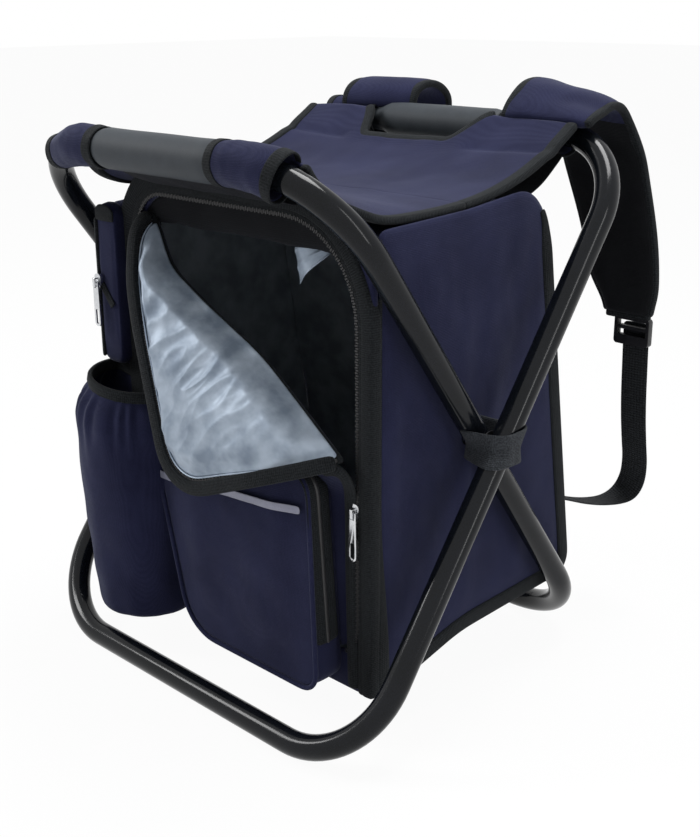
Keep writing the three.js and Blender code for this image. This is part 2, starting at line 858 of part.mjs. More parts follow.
function pocketFrontY(z) {
  const share = (z - pocketBottomZ) / frontPocket.height;
  return pocketBackY - frontPocket.bottomDepth + (frontPocket.bottomDepth - frontPocket.topDepth) * share;
}

function pocketBody() {
  const plate = frontPlate(pocketShape(), pocketBackY, frontPocket.bottomDepth + cutOverrun);
  const farY = pocketBackY - frontPocket.bottomDepth - 2 * cutOverrun;
  const low = pocketBottomZ - cutOverrun;
  const high = pocketTopZ + cutOverrun;
  const infront = outline([
    corner(farY, low), corner(pocketFrontY(low), low), corner(pocketFrontY(high), high), corner(farY, high),
  ]);
  const tool = sidePlate(infront, -bag.halfWidth, 2 * bag.halfWidth);
  return named('front_pocket', cut(plate, tool), 'navyCloth');
}

function pocketZipTape() {
  const ring = pocketShape(-clearance - frontPocket.zipThickness);
  const hole = pocketShape(-clearance);
  ring.holes.push(new THREE.Path(hole.getPoints(4)));
  const band = frontPlate(ring, pocketBackY - frontPocket.zipInset, frontPocket.zipWidth);
  const side = block(
    at(0, -bag.rearBottomY, pocketTopZ - frontPocket.zipLength),
    at(bag.halfWidth, 0, barZ),
  );
  return named('pocket_zip_tape', keep(band, side), 'charcoalCloth');
}

function pocketZipSet() {
  const top = pocketTopZ + 2 * clearance + frontPocket.zipThickness;
  const y = pocketBackY - frontPocket.zipInset - frontPocket.zipWidth / 2;
  const turn = new THREE.Euler(-Math.PI / 2, 0, 0).set(-Math.PI / 2, Math.PI / 2, 0, 'XYZ');
  return zipSet('pocket', at(frontPocket.sliderX, y, top), turn);
}

function reflectiveStrip() {
  const low = pocketTopZ - frontPocket.stripDrop;
  const high = low + frontPocket.stripHeight;
  const back = (z) => pocketFrontY(z) - clearance;
  const shape = outline([
    corner(back(low) - frontPocket.stripThickness, low), corner(back(low), low),
    corner(back(high), high), corner(back(high) - frontPocket.stripThickness, high),
  ]);
  const lowX = frontPocket.leftTopX + 2 * frontPocket.stripInset;
  const width = frontPocket.rightX - frontPocket.stripInset - lowX;
  return named('pocket_reflective_strip', sidePlate(shape, lowX, width), 'reflective');
}

// Bottle pocket: a round pouch wrapped on the bag's front left corner, open at the top

function bottleRing(radius, z) {
  const points = polygonPoints(radius, bottleSides, 0);
  return points.map(({ x, y }) => at(bottlePocket.centreX + x, bottlePocket.centreY + y, z));
}

function bottleRadius(index) {
  const share = bottleHeightShares[index];
  const swell = bottleSwellShares[index];
  const plain = bottlePocket.bottomRadius + (bottlePocket.rimRadius - bottlePocket.bottomRadius) * share;
  return plain + (bottlePocket.bellyRadius - plain) * swell;
}

function bagKeepOut() {
  return block(
    at(-bagFaceX, pocketBackY, -cutOverrun),
    at(bag.halfWidth, bag.rearBottomY, barZ),
  );
}

const bottleTopZ = bottlePocket.bottomZ + bottlePocket.height;

function bottlePouch() {
  const { bottomZ, height, wall } = bottlePocket;
  const outer = bottleHeightShares.map((share, index) => bottleRing(bottleRadius(index), bottomZ + height * share));
  const inner = bottleHeightShares.map((share, index) => (
    bottleRing(bottleRadius(index) - wall, bottomZ + wall + (height - wall) * share)
  ));
  inner.push(bottleRing(bottlePocket.rimRadius - wall, bottleTopZ + cutOverrun));
  return named('bottle_pocket', cut(loft(outer), loft(inner), bagKeepOut()), 'navyCloth');
}

function bottleRim() {
  const innerRadius = bottlePocket.rimRadius + clearance;
  const outerRadius = innerRadius + bottlePocket.rimThickness;
  const ring = new THREE.Shape(polygonPoints(outerRadius, bottleSides, 0));
  ring.holes.push(new THREE.Path(polygonPoints(innerRadius, bottleSides, 0)));
  const band = extrude(ring, bottlePocket.rimHeight);
  const lowZ = bottleTopZ - bottlePocket.rimHeight + clearance;
  band.translate(bottlePocket.centreX, bottlePocket.centreY, lowZ);
  const narrow = cut(loft([
    bottleRing(outerRadius, lowZ), bottleRing(outerRadius, bottleTopZ + clearance),
  ]), bottlePouchVolume(), bagKeepOut());
  return named('bottle_pocket_rim', keep(narrow, band), 'charcoalCloth');
}

// The pouch's filled outer form, grown by the clearance that its binding keeps
function bottlePouchVolume() {
  const { bottomZ, height } = bottlePocket;
  const rings = bottleHeightShares.map((share, index) => (
    bottleRing(bottleRadius(index) + clearance, bottomZ + height * share)
  ));
  rings.push(bottleRing(bottlePocket.rimRadius + clearance, bottleTopZ + cutOverrun));
  return loft(rings);
}

// Narrow zip pocket on the bag's upper left front edge

const sidePocketTopZ = sidePocket.bottomZ + sidePocket.height;
const sidePocketFrontY = pocketBackY - sidePocket.depth;

function upperPocket() {
  const { outerX, width, bottomZ, topRadius, bottomRadius } = sidePocket;
  const shape = outline([
    corner(outerX, bottomZ, bottomRadius), corner(outerX + width, bottomZ, bottomRadius),
    corner(outerX + width, sidePocketTopZ, topRadius), corner(outerX, sidePocketTopZ, topRadius),
  ]);
  return named('side_pocket', frontPlate(shape, pocketBackY, sidePocket.depth), 'navyCloth');
}

const sideZipTurn = THREE.MathUtils.degToRad(sidePocket.zipSlopeDegrees);

function sideZipTape() {
  const half = sidePocket.zipLength / 2;
  const wide = sidePocket.zipWidth / 2;
  const tape = frontPlate(outline(rectangleCorners(-half, half, -wide, wide, wide / 2)), 0, sidePocket.zipThickness);
  const mesh = named('side_zip_tape', tape, 'charcoalCloth');
  mesh.rotation.y = -sideZipTurn;
  mesh.position.set(
    sidePocket.outerX + sidePocket.zipInset,
    sidePocketFrontY - clearance,
    sidePocketTopZ - sidePocket.zipDrop,
  );
  return mesh;
}

function sideZipSet() {
  const place = at(
    sidePocket.outerX + sidePocket.sliderInset,
    sidePocketFrontY - 2 * clearance - sidePocket.zipThickness,
    sidePocketTopZ - sidePocket.sliderDrop,
  );
  return zipSet('side', place, new THREE.Euler(0, 0, 0));
}

// Seat: a padded sheet hung between the bars, with a rounded notch at each grip

const seatEndRise = seat.endRiseShare * sleeveCorner;
const seatEndRun = Math.sqrt(1 - seat.endRiseShare ** 2) * sleeveCorner;
const seatEndY = barY - seatEndRun - 2 * clearance - seat.thickness / 2;
const seatEndZ = barZ + seatEndRise;

function seatProfile(y, lowShare, frontPower) {
  const lowY = lowShare * seatEndY;
  const rise = seatEndZ - seatLowZ;
  const reach = y > lowY ? (y - lowY) / (seatEndY - lowY) : (lowY - y) / (seatEndY + lowY);
  return seatLowZ + rise * reach ** (y > lowY ? seatPowers.rear : frontPower);
}

function seatTopZ(x, y) {
  const edge = (x / seat.halfWidth) ** 4;
  const side = seatProfile(y, seatLowShares.edge, seatPowers.frontEdge);
  const middle = seatProfile(y, seatLowShares.centre, seatPowers.frontCentre);
  return middle + (side - middle) * edge;
}

function seatThickness(x, y) {
  const edge = (x / seat.halfWidth) ** 4;
  const seam = seatEndY - seat.seamInset;
  const fromSeam = Math.min(Math.abs(Math.abs(y) - seam) / seat.seamWidth, 1);
  const plain = seat.thickness + (seat.edgeThickness - seat.thickness) * edge;
  return plain - seat.seamDepth * (1 - fromSeam);
}

function seatRows() {
  const seam = seatEndY - seat.seamInset;
  const middle = seam - seat.seamWidth;
  const rows = [-seatEndY, -seam - seat.seamWidth, -seam];
  const cells = seatCells.along - 4;
  for (let cell = 0; cell <= cells; cell += 1) {
    rows.push(middle * ((2 * cell) / cells - 1));
  }
  rows.push(seam, seam + seat.seamWidth, seatEndY);
  return rows;
}

function seatSheet() {
  const rings = seatRows().map((y) => {
    const top = [];
    const under = [];
    for (let cell = 0; cell <= seatCells.across; cell += 1) {
      const x = seat.halfWidth * ((2 * cell) / seatCells.across - 1);
      const high = seatTopZ(x, y);
      const low = seatTopZ(x, Math.abs(y) > seatEndY ? seatEndY : y) - seatThickness(x, y);
      top.push(at(x, y, high));
      under.unshift(at(x, y, low));
    }
    return [...top, ...under];
  });
  return loft(rings);
}

function gripNotch(end) {
  const depth = seat.cutoutDepth;
  const low = sleeve.shift - sleeve.cutoutHalf;
  const high = sleeve.shift + sleeve.cutoutHalf;
  const near = end * (seatEndY - depth);
  const far = end * (seatEndY + cutOverrun);
  const shape = outline(rectangleCorners(low, high, Math.min(near, far), Math.max(near, far), seat.cutoutRadius));
  return extrude(shape, barZ + cutOverrun);
}

function seatPanel() {
  const body = cut(seatSheet(), gripNotch(-1), gripNotch(1));
  return named('seat_panel', body, 'navyCloth');
}

// Fabric that ties the bag's top edges to the sleeves on the bars
function hangerSheet(name, end, low, halfWidth) {
  const turn = THREE.MathUtils.degToRad(hanger.sleeveTurnDegrees);
  const reach = sleeveCorner + 2 * clearance;
  const high = new THREE.Vector2(
    end * (barY - reach * Math.cos(turn)),
    barZ + reach * Math.sin(turn),
  );
  const run = low.clone().sub(high).normalize();
  const across = new THREE.Vector2(-run.y, run.x).multiplyScalar((end * hanger.thickness) / 2);
  const corners = [
    high.clone().add(across), low.clone().add(across), low.clone().sub(across), high.clone().sub(across),
  ].map((point) => corner(point.x, point.y));
  const plate = sidePlate(outline(corners), -halfWidth, 2 * halfWidth);
  return named(name, plate, 'charcoalCloth');
}

function frontHanger() {
  const low = new THREE.Vector2(bag.frontY, surroundTopZ + hanger.thickness / 2 + clearance);
  return hangerSheet('front_hanger', -1, low, hanger.frontHalfWidth);
}

function rearHanger() {
  const { centre } = fillet(wrapCorners, 3);
  const turn = THREE.MathUtils.degToRad(hanger.rearLandDegrees);
  const reach = bagRadii.rearTop + clearance + hanger.thickness / 2;
  const low = new THREE.Vector2(centre.x + reach * Math.cos(turn), centre.y + reach * Math.sin(turn));
  return hangerSheet('rear_hanger', 1, low, hanger.rearHalfWidth);
}

// Pivot straps: webbing from the bag's side round the crossing tubes, waisted to hug the X

function pivotStrapBody(name, side) {
  const inner = cornerRadius / Math.cos(leanAngle) + pivotStrap.slack;
  const outer = inner + pivotStrap.thickness;
  const spread = Math.tan(leanAngle);
  const below = pivotZ - pivotStrap.below;
  const above = pivotZ + pivotStrap.above;
  const nearX = bag.halfWidth + clearance;
  const webX = outerHalfWidth + cornerRadius + rivet.headHeight + clearance + pivotStrap.webGap;
  const lowOut = pivotStrap.below * spread;
  const highOut = pivotStrap.above * spread;
  const leg = (sign) => {
    const corners = [
      corner(sign * (inner + lowOut), below), corner(sign * (outer + lowOut), below),
      corner(sign * outer, pivotZ),
      corner(sign * (outer + highOut), above), corner(sign * (inner + highOut), above),
      corner(sign * inner, pivotZ),
    ];
    const ordered = sign > 0 ? corners : corners.reverse();
    return sidePlate(outline(ordered), nearX, webX - nearX + pivotStrap.thickness / 2);
  };
  const web = sidePlate(
    outline([
      corner(-outer - lowOut, below), corner(outer + lowOut, below), corner(outer, pivotZ),
      corner(outer + highOut, above), corner(-outer - highOut, above), corner(-outer, pivotZ),
    ]),
    webX,
    pivotStrap.thickness,
  );
  const body = join(web, leg(1), leg(-1));
  return named(name, side > 0 ? body : body.rotateZ(Math.PI), 'charcoalCloth');
}

// Shoulder straps: a padded strap over the rear bar, a ladder-lock buckle and a webbing tail

function ribbonRings(stations) {
  return stations.map(({ point, width, thickness, edge, roll }, index) => {
    const before = stations[Math.max(index - 1, 0)].point;
    const after = stations[Math.min(index + 1, stations.length - 1)].point;
    const along = after.clone().sub(before).normalize();
    const level = at(Math.cos(roll), 0, -Math.sin(roll));
    const across = level.addScaledVector(along, -along.dot(level)).normalize();
    const out = new THREE.Vector3().crossVectors(along, across).normalize();
    const place = (sideShare, outShare) => (
      point.clone().addScaledVector(across, (sideShare * width) / 2).addScaledVector(out, outShare)
    );
    const thick = thickness / 2;
    const thin = edge / 2;
    return [
      place(-1, -thin), place(-0.8, -thick), place(0.8, -thick), place(1, -thin),
      place(1, thin), place(0.8, thick), place(-0.8, thick), place(-1, thin),
    ];
  });
}

function padStations(side) {
  const curve = new THREE.CatmullRomCurve3(padRoute.map(([y, z]) => at(0, y, z)), false, 'centripetal');
  const count = 2 * padRoute.length;
  return curve.getSpacedPoints(count).map((point, index) => {
    const share = index / count;
    const { smoothstep } = THREE.MathUtils;
    const drift = smoothstep(share, padDriftShares.start, padDriftShares.end);
    const topX = side > 0 ? pad.rightTopX : pad.leftTopX;
    const rolled = smoothstep(share, padRollShares.start, padRollShares.full)
      * (1 - smoothstep(share, padRollShares.fading, padRollShares.gone));
    return {
      point: at(side * (topX + (pad.tipX - topX) * drift), point.y, point.z),
      width: pad.topWidth + (pad.tipWidth - pad.topWidth) * drift,
      thickness: pad.thickness,
      edge: pad.edgeThickness,
      roll: side * THREE.MathUtils.degToRad(pad.rollDegrees) * rolled,
    };
  });
}

function shoulderPad(name, side) {
  return named(name, loft(ribbonRings(padStations(side))), 'navyCloth');
}

function strapTail(name, side) {
  const route = webbingRoute.map(([x, y, z]) => at(side * x, y, z));
  const curve = new THREE.CatmullRomCurve3(route, false, 'centripetal');
  const stations = curve.getSpacedPoints(2 * webbingRoute.length).map((point) => (
    { point, width: webbing.width, thickness: webbing.thickness, edge: webbing.thickness, roll: 0 }
  ));
  const rings = ribbonRings(stations).map((ring) => [ring[0], ring[3], ring[4], ring[7]]);
  return named(name, loft(rings), 'charcoalCloth');
}

function ladderLock(name, side) {
  const half = buckle.width / 2;
  const slot = buckle.slotWidth / 2;
  const shape = outline(rectangleCorners(-half, half, -buckle.height, 0, buckle.barHeight));
  const pitch = buckle.slotHeight + buckle.barHeight;
  for (let row = 0; row < 2; row += 1) {
    const high = -buckle.barHeight - row * pitch;
    shape.holes.push(drawCorners(new THREE.Path(), rectangleCorners(-slot, slot, high - buckle.slotHeight, high)));
  }
  const [tipY, tipZ] = padRoute[padRoute.length - 1];
  const mesh = named(name, frontPlate(shape, buckle.thickness / 2, buckle.thickness), 'nylon');
  const [webbingX] = webbingRoute[0];
  mesh.position.set(side * webbingX, tipY, tipZ - buckle.topGap);
  return mesh;
}

function bagAndSoftParts() {
  return groupOf(
    sidePanel('bag_right_panel', 1),
    sidePanel('bag_left_panel', -1),
    edgeBinding('bag_right_binding', 1),
    edgeBinding('bag_left_binding', -1),
    wrapPanels(),
    coolerLining(),
    bagSurround(),
    doorPanel(),
    doorFlap(),
    mainZipTape(),
    mainZipSet(),
    pocketBody(),
    pocketZipTape(),
    pocketZipSet(),
    reflectiveStrip(),
    bottlePouch(),
    bottleRim(),
    upperPocket(),
    sideZipTape(),
    sideZipSet(),
    seatPanel(),
    frontHanger(),
    rearHanger(),
    pivotStrapBody('pivot_strap_right', 1),
    pivotStrapBody('pivot_strap_left', -1),
    shoulderPad('shoulder_pad_right', 1),
    shoulderPad('shoulder_pad_left', -1),
    ladderLock('ladder_lock_right', 1),
    ladderLock('ladder_lock_left', -1),
    strapTail('strap_webbing_right', 1),
    strapTail('strap_webbing_left', -1),
  );
}

const stool = groupOf(innerFrame(), outerFrame(), bagAndSoftParts());
stool.position.set(0, barY, 0);

export default stool;
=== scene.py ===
"""Looks of the folding cooler stool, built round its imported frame."""

import logging
import math
from collections.abc import Callable, Iterable, Sequence
from dataclasses import dataclass, field
from enum import Enum

import bmesh
import bpy
from mathutils import Matrix, Vector, noise


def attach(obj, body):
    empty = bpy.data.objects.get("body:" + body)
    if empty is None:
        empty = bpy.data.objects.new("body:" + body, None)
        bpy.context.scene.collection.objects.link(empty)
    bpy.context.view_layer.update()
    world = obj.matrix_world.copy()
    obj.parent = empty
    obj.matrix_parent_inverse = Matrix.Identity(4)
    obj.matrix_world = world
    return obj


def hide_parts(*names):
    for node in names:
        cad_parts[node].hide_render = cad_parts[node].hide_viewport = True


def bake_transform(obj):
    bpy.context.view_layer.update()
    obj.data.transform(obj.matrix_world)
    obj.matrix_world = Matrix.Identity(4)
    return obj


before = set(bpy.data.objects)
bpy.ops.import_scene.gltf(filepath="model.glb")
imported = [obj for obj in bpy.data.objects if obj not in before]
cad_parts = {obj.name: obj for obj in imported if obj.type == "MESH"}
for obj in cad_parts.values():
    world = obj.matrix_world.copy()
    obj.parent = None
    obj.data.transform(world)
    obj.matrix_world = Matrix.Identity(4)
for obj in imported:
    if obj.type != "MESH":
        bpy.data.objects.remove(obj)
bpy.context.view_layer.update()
log = logging.getLogger("stool")

# Lengths are millimetres with y counted from the pivot line, until row() turns them into the row frame's metres.
MM = 0.001
PIVOT_Y = 150.7
PIVOT_Z = 213.964
LEAN = math.asin(301.4 / 508)
HALF_PITCH = 254.0
TUBE_RADIUS = 9.5
BAG_FRONT = -97.0
SEAT_LOW = 380.846
BLEND_Z = 400.0
SMOOTH_ANGLE = math.radians(35)
FORWARD = Vector((0, -1, 0))

Colour = tuple[float, float, float]
Piece = bpy.types.Object
Finish = bpy.types.Material
Socket = bpy.types.NodeSocket
Faces = list[tuple[int, ...]]
Grid = list[list[Vector]]
Outline = list[tuple[float, float]]
Corners = tuple[tuple[float, float, float], ...]
Crown = Callable[[float, Vector], float]


class Body(Enum):
    """The rigid groups of the frame that pieces ride on."""

    BAG = "bag"
    INNER = "inner_frame"
    OUTER = "outer_frame"
    FLAP = "door_flap"
    MAIN_SLIDER = "main_slider"
    MAIN_PULL = "main_pull"
    POCKET_SLIDER = "pocket_slider"
    POCKET_PULL = "pocket_pull"
    SIDE_SLIDER = "side_slider"
    SIDE_PULL = "side_pull"


class Slot(Enum):
    """The record's material slots."""

    NAVY = "navy_cloth"
    CHARCOAL = "charcoal_cloth"
    LINING = "dark_lining"
    FOIL = "silver_foil"
    NYLON = "nylon"
    CHROME = "chrome"
    FOAM = "foam"
    STEEL = "painted_steel"
    REFLECTIVE = "reflective"


# ---- finishes


@dataclass(frozen=True)
class Nodes:
    """Adds linked nodes to one node tree."""

    tree: bpy.types.NodeTree

    def feed(self, node: bpy.types.Node, values: dict[str | int, object]) -> None:
        """Link sockets to a node's inputs, or give the inputs constants."""
        for name, value in values.items():
            if isinstance(value, Socket):
                self.tree.links.new(value, node.inputs[name])
            else:
                node.inputs[name].default_value = value

    def add(self, kind: str, values: dict[str | int, object] | None = None) -> bpy.types.Node:
        """Add a node of a kind, named without its prefix, and feed it."""
        node = self.tree.nodes.new("ShaderNode" + kind)
        self.feed(node, values or {})
        return node

    def math(self, kind: str, first: Socket | float, second: Socket | float = 0.0) -> Socket:
        """Calculate with two sockets or numbers."""
        node = self.add("Math", {0: first, 1: second})
        node.operation = kind
        return node.outputs[0]

    def noise(self, where: Socket, scale: float, detail: float = 3.0, roughness: float = 0.55) -> Socket:
        """A noise texture's factor, with scale in features per metre."""
        values = {"Vector": where, "Scale": scale, "Detail": detail, "Roughness": roughness}
        return self.add("TexNoise", values).outputs[0]

    def ramp(self, factor: Socket, stops: Iterable[tuple[float, Colour]]) -> Socket:
        """A colour ramp with two stops."""
        node = self.add("ValToRGB", {0: factor})
        for element, (place, colour) in zip(node.color_ramp.elements, stops):
            element.position = place
            element.color = (*colour, 1.0)
        return node.outputs[0]

    def bump(self, height: Socket, strength: float, distance: float) -> Socket:
        """A bumped normal, with distance in metres."""
        return self.add("Bump", {"Strength": strength, "Distance": distance, "Height": height}).outputs[0]


@dataclass(frozen=True)
class Recipe:
    """A procedural finish between two colours, on Object coordinates."""

    name: str
    dark: Colour
    light: Colour

    def pattern(self, nodes: Nodes, place: Socket) -> tuple[Socket, tuple[float, float], dict[str, object]]:
        """Add the finish's own nodes.

        Args:
            nodes: The material's nodes.
            place: The Object coordinates.

        Returns:
            The shade, where it is darkest and lightest, and the shader's other inputs.
        """
        raise NotImplementedError

    def make(self) -> Finish:
        """Build the material."""
        material = bpy.data.materials.new(self.name)
        material.use_nodes = True
        nodes = Nodes(material.node_tree)
        shade, stops, values = self.pattern(nodes, nodes.add("TexCoord").outputs["Object"])
        values["Base Color"] = nodes.ramp(shade, zip(stops, (self.dark, self.light)))
        nodes.feed(material.node_tree.nodes["Principled BSDF"], values)
        return material


@dataclass(frozen=True)
class WovenCloth(Recipe):
    """Woven polyester: a fine plain weave, patchy shade and soft sheen."""

    sheen: float = 0.16
    thread: float = 1.15
    weave: float = 0.5

    def pattern(self, nodes: Nodes, place: Socket) -> tuple[Socket, tuple[float, float], dict[str, object]]:
        """Add crossing waves, patches and fibres."""
        split = nodes.add("SeparateXYZ", {0: place})
        pitch = 2 * math.pi / (self.thread * MM)
        x, y, z = (nodes.math("SINE", nodes.math("MULTIPLY", axis, pitch)) for axis in split.outputs)
        weave = nodes.math("MULTIPLY", x, z)
        for first, second in ((y, z), (x, y)):
            weave = nodes.math("ADD", weave, nodes.math("MULTIPLY", first, second))
        patches, fibres = nodes.noise(place, 16.0, 4.0), nodes.noise(place, 1500.0, 2.0)
        shade = nodes.math("MULTIPLY", weave, 0.12 * self.weave)
        for part, share in ((patches, 0.6), (fibres, 0.45)):
            shade = nodes.math("ADD", shade, nodes.math("MULTIPLY", part, share))
        height = nodes.math("ADD", nodes.math("MULTIPLY", weave, self.weave), fibres)
        return shade, (0.32, 0.78), {
            "Normal": nodes.bump(height, 0.35, 0.00025), "Roughness": 0.8, "Sheen Weight": self.sheen,
            "Sheen Roughness": 0.4, "Sheen Tint": (0.8, 0.84, 1.0, 1.0), "Specular IOR Level": 0.06}


@dataclass(frozen=True)
class RibbedTape(Recipe):
    """Grosgrain binding or webbing, with ribs across the strip's own UV length."""

    rib: float = 1.5

    def pattern(self, nodes: Nodes, place: Socket) -> tuple[Socket, tuple[float, float], dict[str, object]]:
        """Add ribs, the cords that cross them, and grain."""
        split = nodes.add("SeparateXYZ", {0: nodes.add("UVMap").outputs[0]})
        ribs, cords = (nodes.math("SINE", nodes.math("MULTIPLY", split.outputs[axis], 2 * math.pi / width))
                       for axis, width in enumerate((self.rib, 1.3 * self.rib)))
        weave = nodes.math("ADD", ribs, nodes.math("MULTIPLY", cords, 0.6))
        shade = nodes.math("ADD", nodes.math("MULTIPLY", weave, 0.12), nodes.noise(place, 900.0, 2.0))
        return shade, (0.3, 0.75), {"Normal": nodes.bump(weave, 0.5, 0.0002), "Roughness": 0.8,
                                    "Sheen Weight": 0.04, "Specular IOR Level": 0.07}


@dataclass(frozen=True)
class FoilLining(Recipe):
    """Metallised lining film: satin silver with fine crinkles."""

    metallic: float = 0.3
    roughness: float = 0.5

    def pattern(self, nodes: Nodes, place: Socket) -> tuple[Socket, tuple[float, float], dict[str, object]]:
        """Add folds and finer crinkles."""
        folds, fine = nodes.noise(place, 45.0, 3.0, 0.5), nodes.noise(place, 170.0, 3.0, 0.6)
        height = nodes.math("ADD", folds, nodes.math("MULTIPLY", fine, 0.35))
        return folds, (0.35, 0.65), {"Normal": nodes.bump(height, 0.3, 0.0025), "Metallic": self.metallic,
                                     "Roughness": self.roughness, "Specular IOR Level": 0.4}


@dataclass(frozen=True)
class SmoothFinish(Recipe):
    """Paint, plating, foam or nylon: one colour with slight mottling and a fine surface."""

    metallic: float
    roughness: float
    grain: float
    bump: float
    gloss: float = 0.4

    def pattern(self, nodes: Nodes, place: Socket) -> tuple[Socket, tuple[float, float], dict[str, object]]:
        """Add fine and wide mottling."""
        fine, wide = nodes.noise(place, self.grain, 3.0), nodes.noise(place, self.grain / 25, 3.0)
        shade = nodes.math("MULTIPLY", nodes.math("ADD", fine, wide), 0.5)
        rough = nodes.math("ADD", nodes.math("MULTIPLY", wide, 0.12), self.roughness - 0.06)
        return shade, (0.35, 0.65), {"Normal": nodes.bump(fine, self.bump, 0.0002), "Roughness": rough,
                                     "Metallic": self.metallic, "Specular IOR Level": self.gloss}


class Palette:
    """Every finish of the stool, made once."""

    def __init__(self) -> None:
        """Build all materials."""
        self.navy = WovenCloth("navy cloth", (0.009, 0.010, 0.029), (0.027, 0.030, 0.073)).make()
        self.tape = RibbedTape("charcoal binding", (0.006, 0.007, 0.008), (0.024, 0.027, 0.030)).make()
        # The pivot webbing is a lighter copy of the charcoal webbing, as painted light.
        self.band = RibbedTape("pivot webbing with painted light", (0.018, 0.020, 0.023), (0.066, 0.072, 0.082), 2.2).make()
        self.web = RibbedTape("charcoal webbing", (0.009, 0.010, 0.011), (0.034, 0.037, 0.041), 2.2).make()
        self.black = WovenCloth("black cloth", (0.005, 0.005, 0.006), (0.015, 0.016, 0.018), 0.05).make()
        self.foil = FoilLining("silver lining", (0.20, 0.25, 0.32), (0.41, 0.48, 0.57)).make()
        # The lining inside the bag is the silver foil with painted shade: a greyer, less blue and less metallic copy of
        # it.
        self.shade = FoilLining("lining foil with painted shade", (0.24, 0.27, 0.30), (0.40, 0.44, 0.48), 0.2, 0.45).make()
        self.paint = SmoothFinish("black paint", (0.003, 0.004, 0.005), (0.006, 0.007, 0.010),
                                  0.0, 0.15, 700.0, 0.012, 0.21).make()
        self.foam = SmoothFinish("grey foam", (0.025, 0.030, 0.036), (0.040, 0.047, 0.055),
                                 0.0, 0.6, 1800.0, 0.25, 0.25).make()
        self.chrome = SmoothFinish("bright plating", (0.55, 0.56, 0.58), (0.72, 0.73, 0.75),
                                   1.0, 0.18, 500.0, 0.02).make()
        self.nylon = SmoothFinish("black nylon", (0.008, 0.008, 0.009), (0.016, 0.016, 0.018),
                                  0.0, 0.38, 900.0, 0.08).make()
        self.reflect = SmoothFinish("reflective strip", (0.20, 0.205, 0.27), (0.29, 0.295, 0.37),
                                    0.3, 0.35, 2200.0, 0.15).make()
        self.teeth = SmoothFinish("zip teeth", (0.014, 0.014, 0.015), (0.034, 0.034, 0.036),
                                  0.0, 0.4, 900.0, 0.05).make()


# ---- shaping helpers


def row(point: Vector) -> Vector:
    """A point in the row frame, in metres."""
    return Vector((point.x * MM, (point.y + PIVOT_Y) * MM, point.z * MM))


def side_word(side: int) -> str:
    """The name of a side, right for 1 and left for -1."""
    return "right" if side > 0 else "left"


def smooth(low: float, high: float, value: float) -> float:
    """A smooth step from 0 at low to 1 at high."""
    share = min(max((value - low) / (high - low), 0.0), 1.0)
    return share * share * (3 - 2 * share)


def hill(value: float, middle: float, width: float) -> float:
    """A bell curve, 1 at its middle."""
    return math.exp(-((value - middle) / width) ** 2)


def arc(share: float) -> float:
    """Half a sine wave, 0 at both ends and 1 in the middle."""
    return math.sin(math.pi * share)


def crease(point: Vector, size: float, seed: float, stretch: tuple[float, float, float] = (1, 1, 1)) -> float:
    """A repeatable wrinkle height from -1 to 1.

    Args:
        point: The place.
        size: The wrinkle's width.
        seed: Which wrinkle pattern.
        stretch: How many times finer the pattern is along each axis.

    Returns:
        The height share.
    """
    scaled = Vector([value * wide / size for value, wide in zip(point, stretch)])
    return noise.noise(scaled + Vector((seed * 17.3, seed * 5.1, seed * 9.7)))


def select_only(piece: Piece) -> None:
    """Make one piece the only selected and the active one."""
    bpy.ops.object.select_all(action="DESELECT")
    piece.select_set(True)
    bpy.context.view_layer.objects.active = piece


def modify(piece: Piece, kind: str, **values: object) -> Piece:
    """Add a modifier of a kind with its settings and apply it."""
    select_only(piece)
    modifier = piece.modifiers.new(kind, kind)
    for name, value in values.items():
        setattr(modifier, name, value)
    bpy.ops.object.modifier_apply(modifier=modifier.name)
    return piece


def mend_normals(piece: Piece) -> Piece:
    """Merge doubles and turn every face outwards."""
    work = bmesh.new()
    work.from_mesh(piece.data)
    bmesh.ops.remove_doubles(work, verts=work.verts, dist=1e-6)
    bmesh.ops.recalc_face_normals(work, faces=work.faces)
    work.to_mesh(piece.data)
    work.free()
    return piece


def mesh_piece(name: str, points: Sequence[Vector], faces: Faces, finish: Finish, uvs: Outline | None = None,
               soft: bool = True) -> Piece:
    """Make a smooth mesh object with outward faces.

    Args:
        name: The piece's name.
        points: The vertices.
        faces: Vertex indices of each face.
        finish: The piece's material.
        uvs: A UV place for each vertex.
        soft: Whether it is subdivided.

    Returns:
        The new object, at the origin.
    """
    mesh = bpy.data.meshes.new(name)
    mesh.from_pydata([row(point) for point in points], [], faces)
    mesh.polygons.foreach_set("use_smooth", [True] * len(mesh.polygons))
    if uvs is not None:
        flat = [value for loop in mesh.loops for value in uvs[loop.vertex_index]]
        mesh.uv_layers.new(name="UVMap").data.foreach_set("uv", flat)
    mesh.materials.append(finish)
    mesh.validate()
    piece = bpy.data.objects.new(name, mesh)
    bpy.context.scene.collection.objects.link(piece)
    mend_normals(piece)
    return modify(piece, "SUBSURF", levels=1, render_levels=1) if soft else piece


def shell_faces(rows: int, cols: int, ring: bool = False, loop: bool = False) -> Faces:
    """Faces of a cloth slab between two layers of a grid of points.

    Args:
        rows: Rows of points in each layer.
        cols: Points in each row.
        ring: Whether the last row joins the first one.
        loop: Whether each row is closed.

    Returns:
        The faces of both layers and of their open edges.
    """
    under, end = rows * cols, (rows - 1) * cols
    long, wide = (rows if ring else rows - 1), (cols if loop else cols - 1)
    faces: Faces = []
    for i in range(long):
        for j in range(wide):
            a, b = i * cols + j, i * cols + (j + 1) % cols
            c, d = (i + 1) % rows * cols + (j + 1) % cols, (i + 1) % rows * cols + j
            faces += [(a, b, c, d), (under + a, under + d, under + c, under + b)]
    edges = [] if ring else [pair for j in range(wide) for pair in (
        (j, (j + 1) % cols), (end + (j + 1) % cols, end + j))]
    edges += [] if loop else [pair for i in range(long) for pair in (
        ((i + 1) % rows * cols, i * cols), (i * cols + cols - 1, (i + 1) % rows * cols + cols - 1))]
    return faces + [(here, under + here, under + there, there) for here, there in edges]


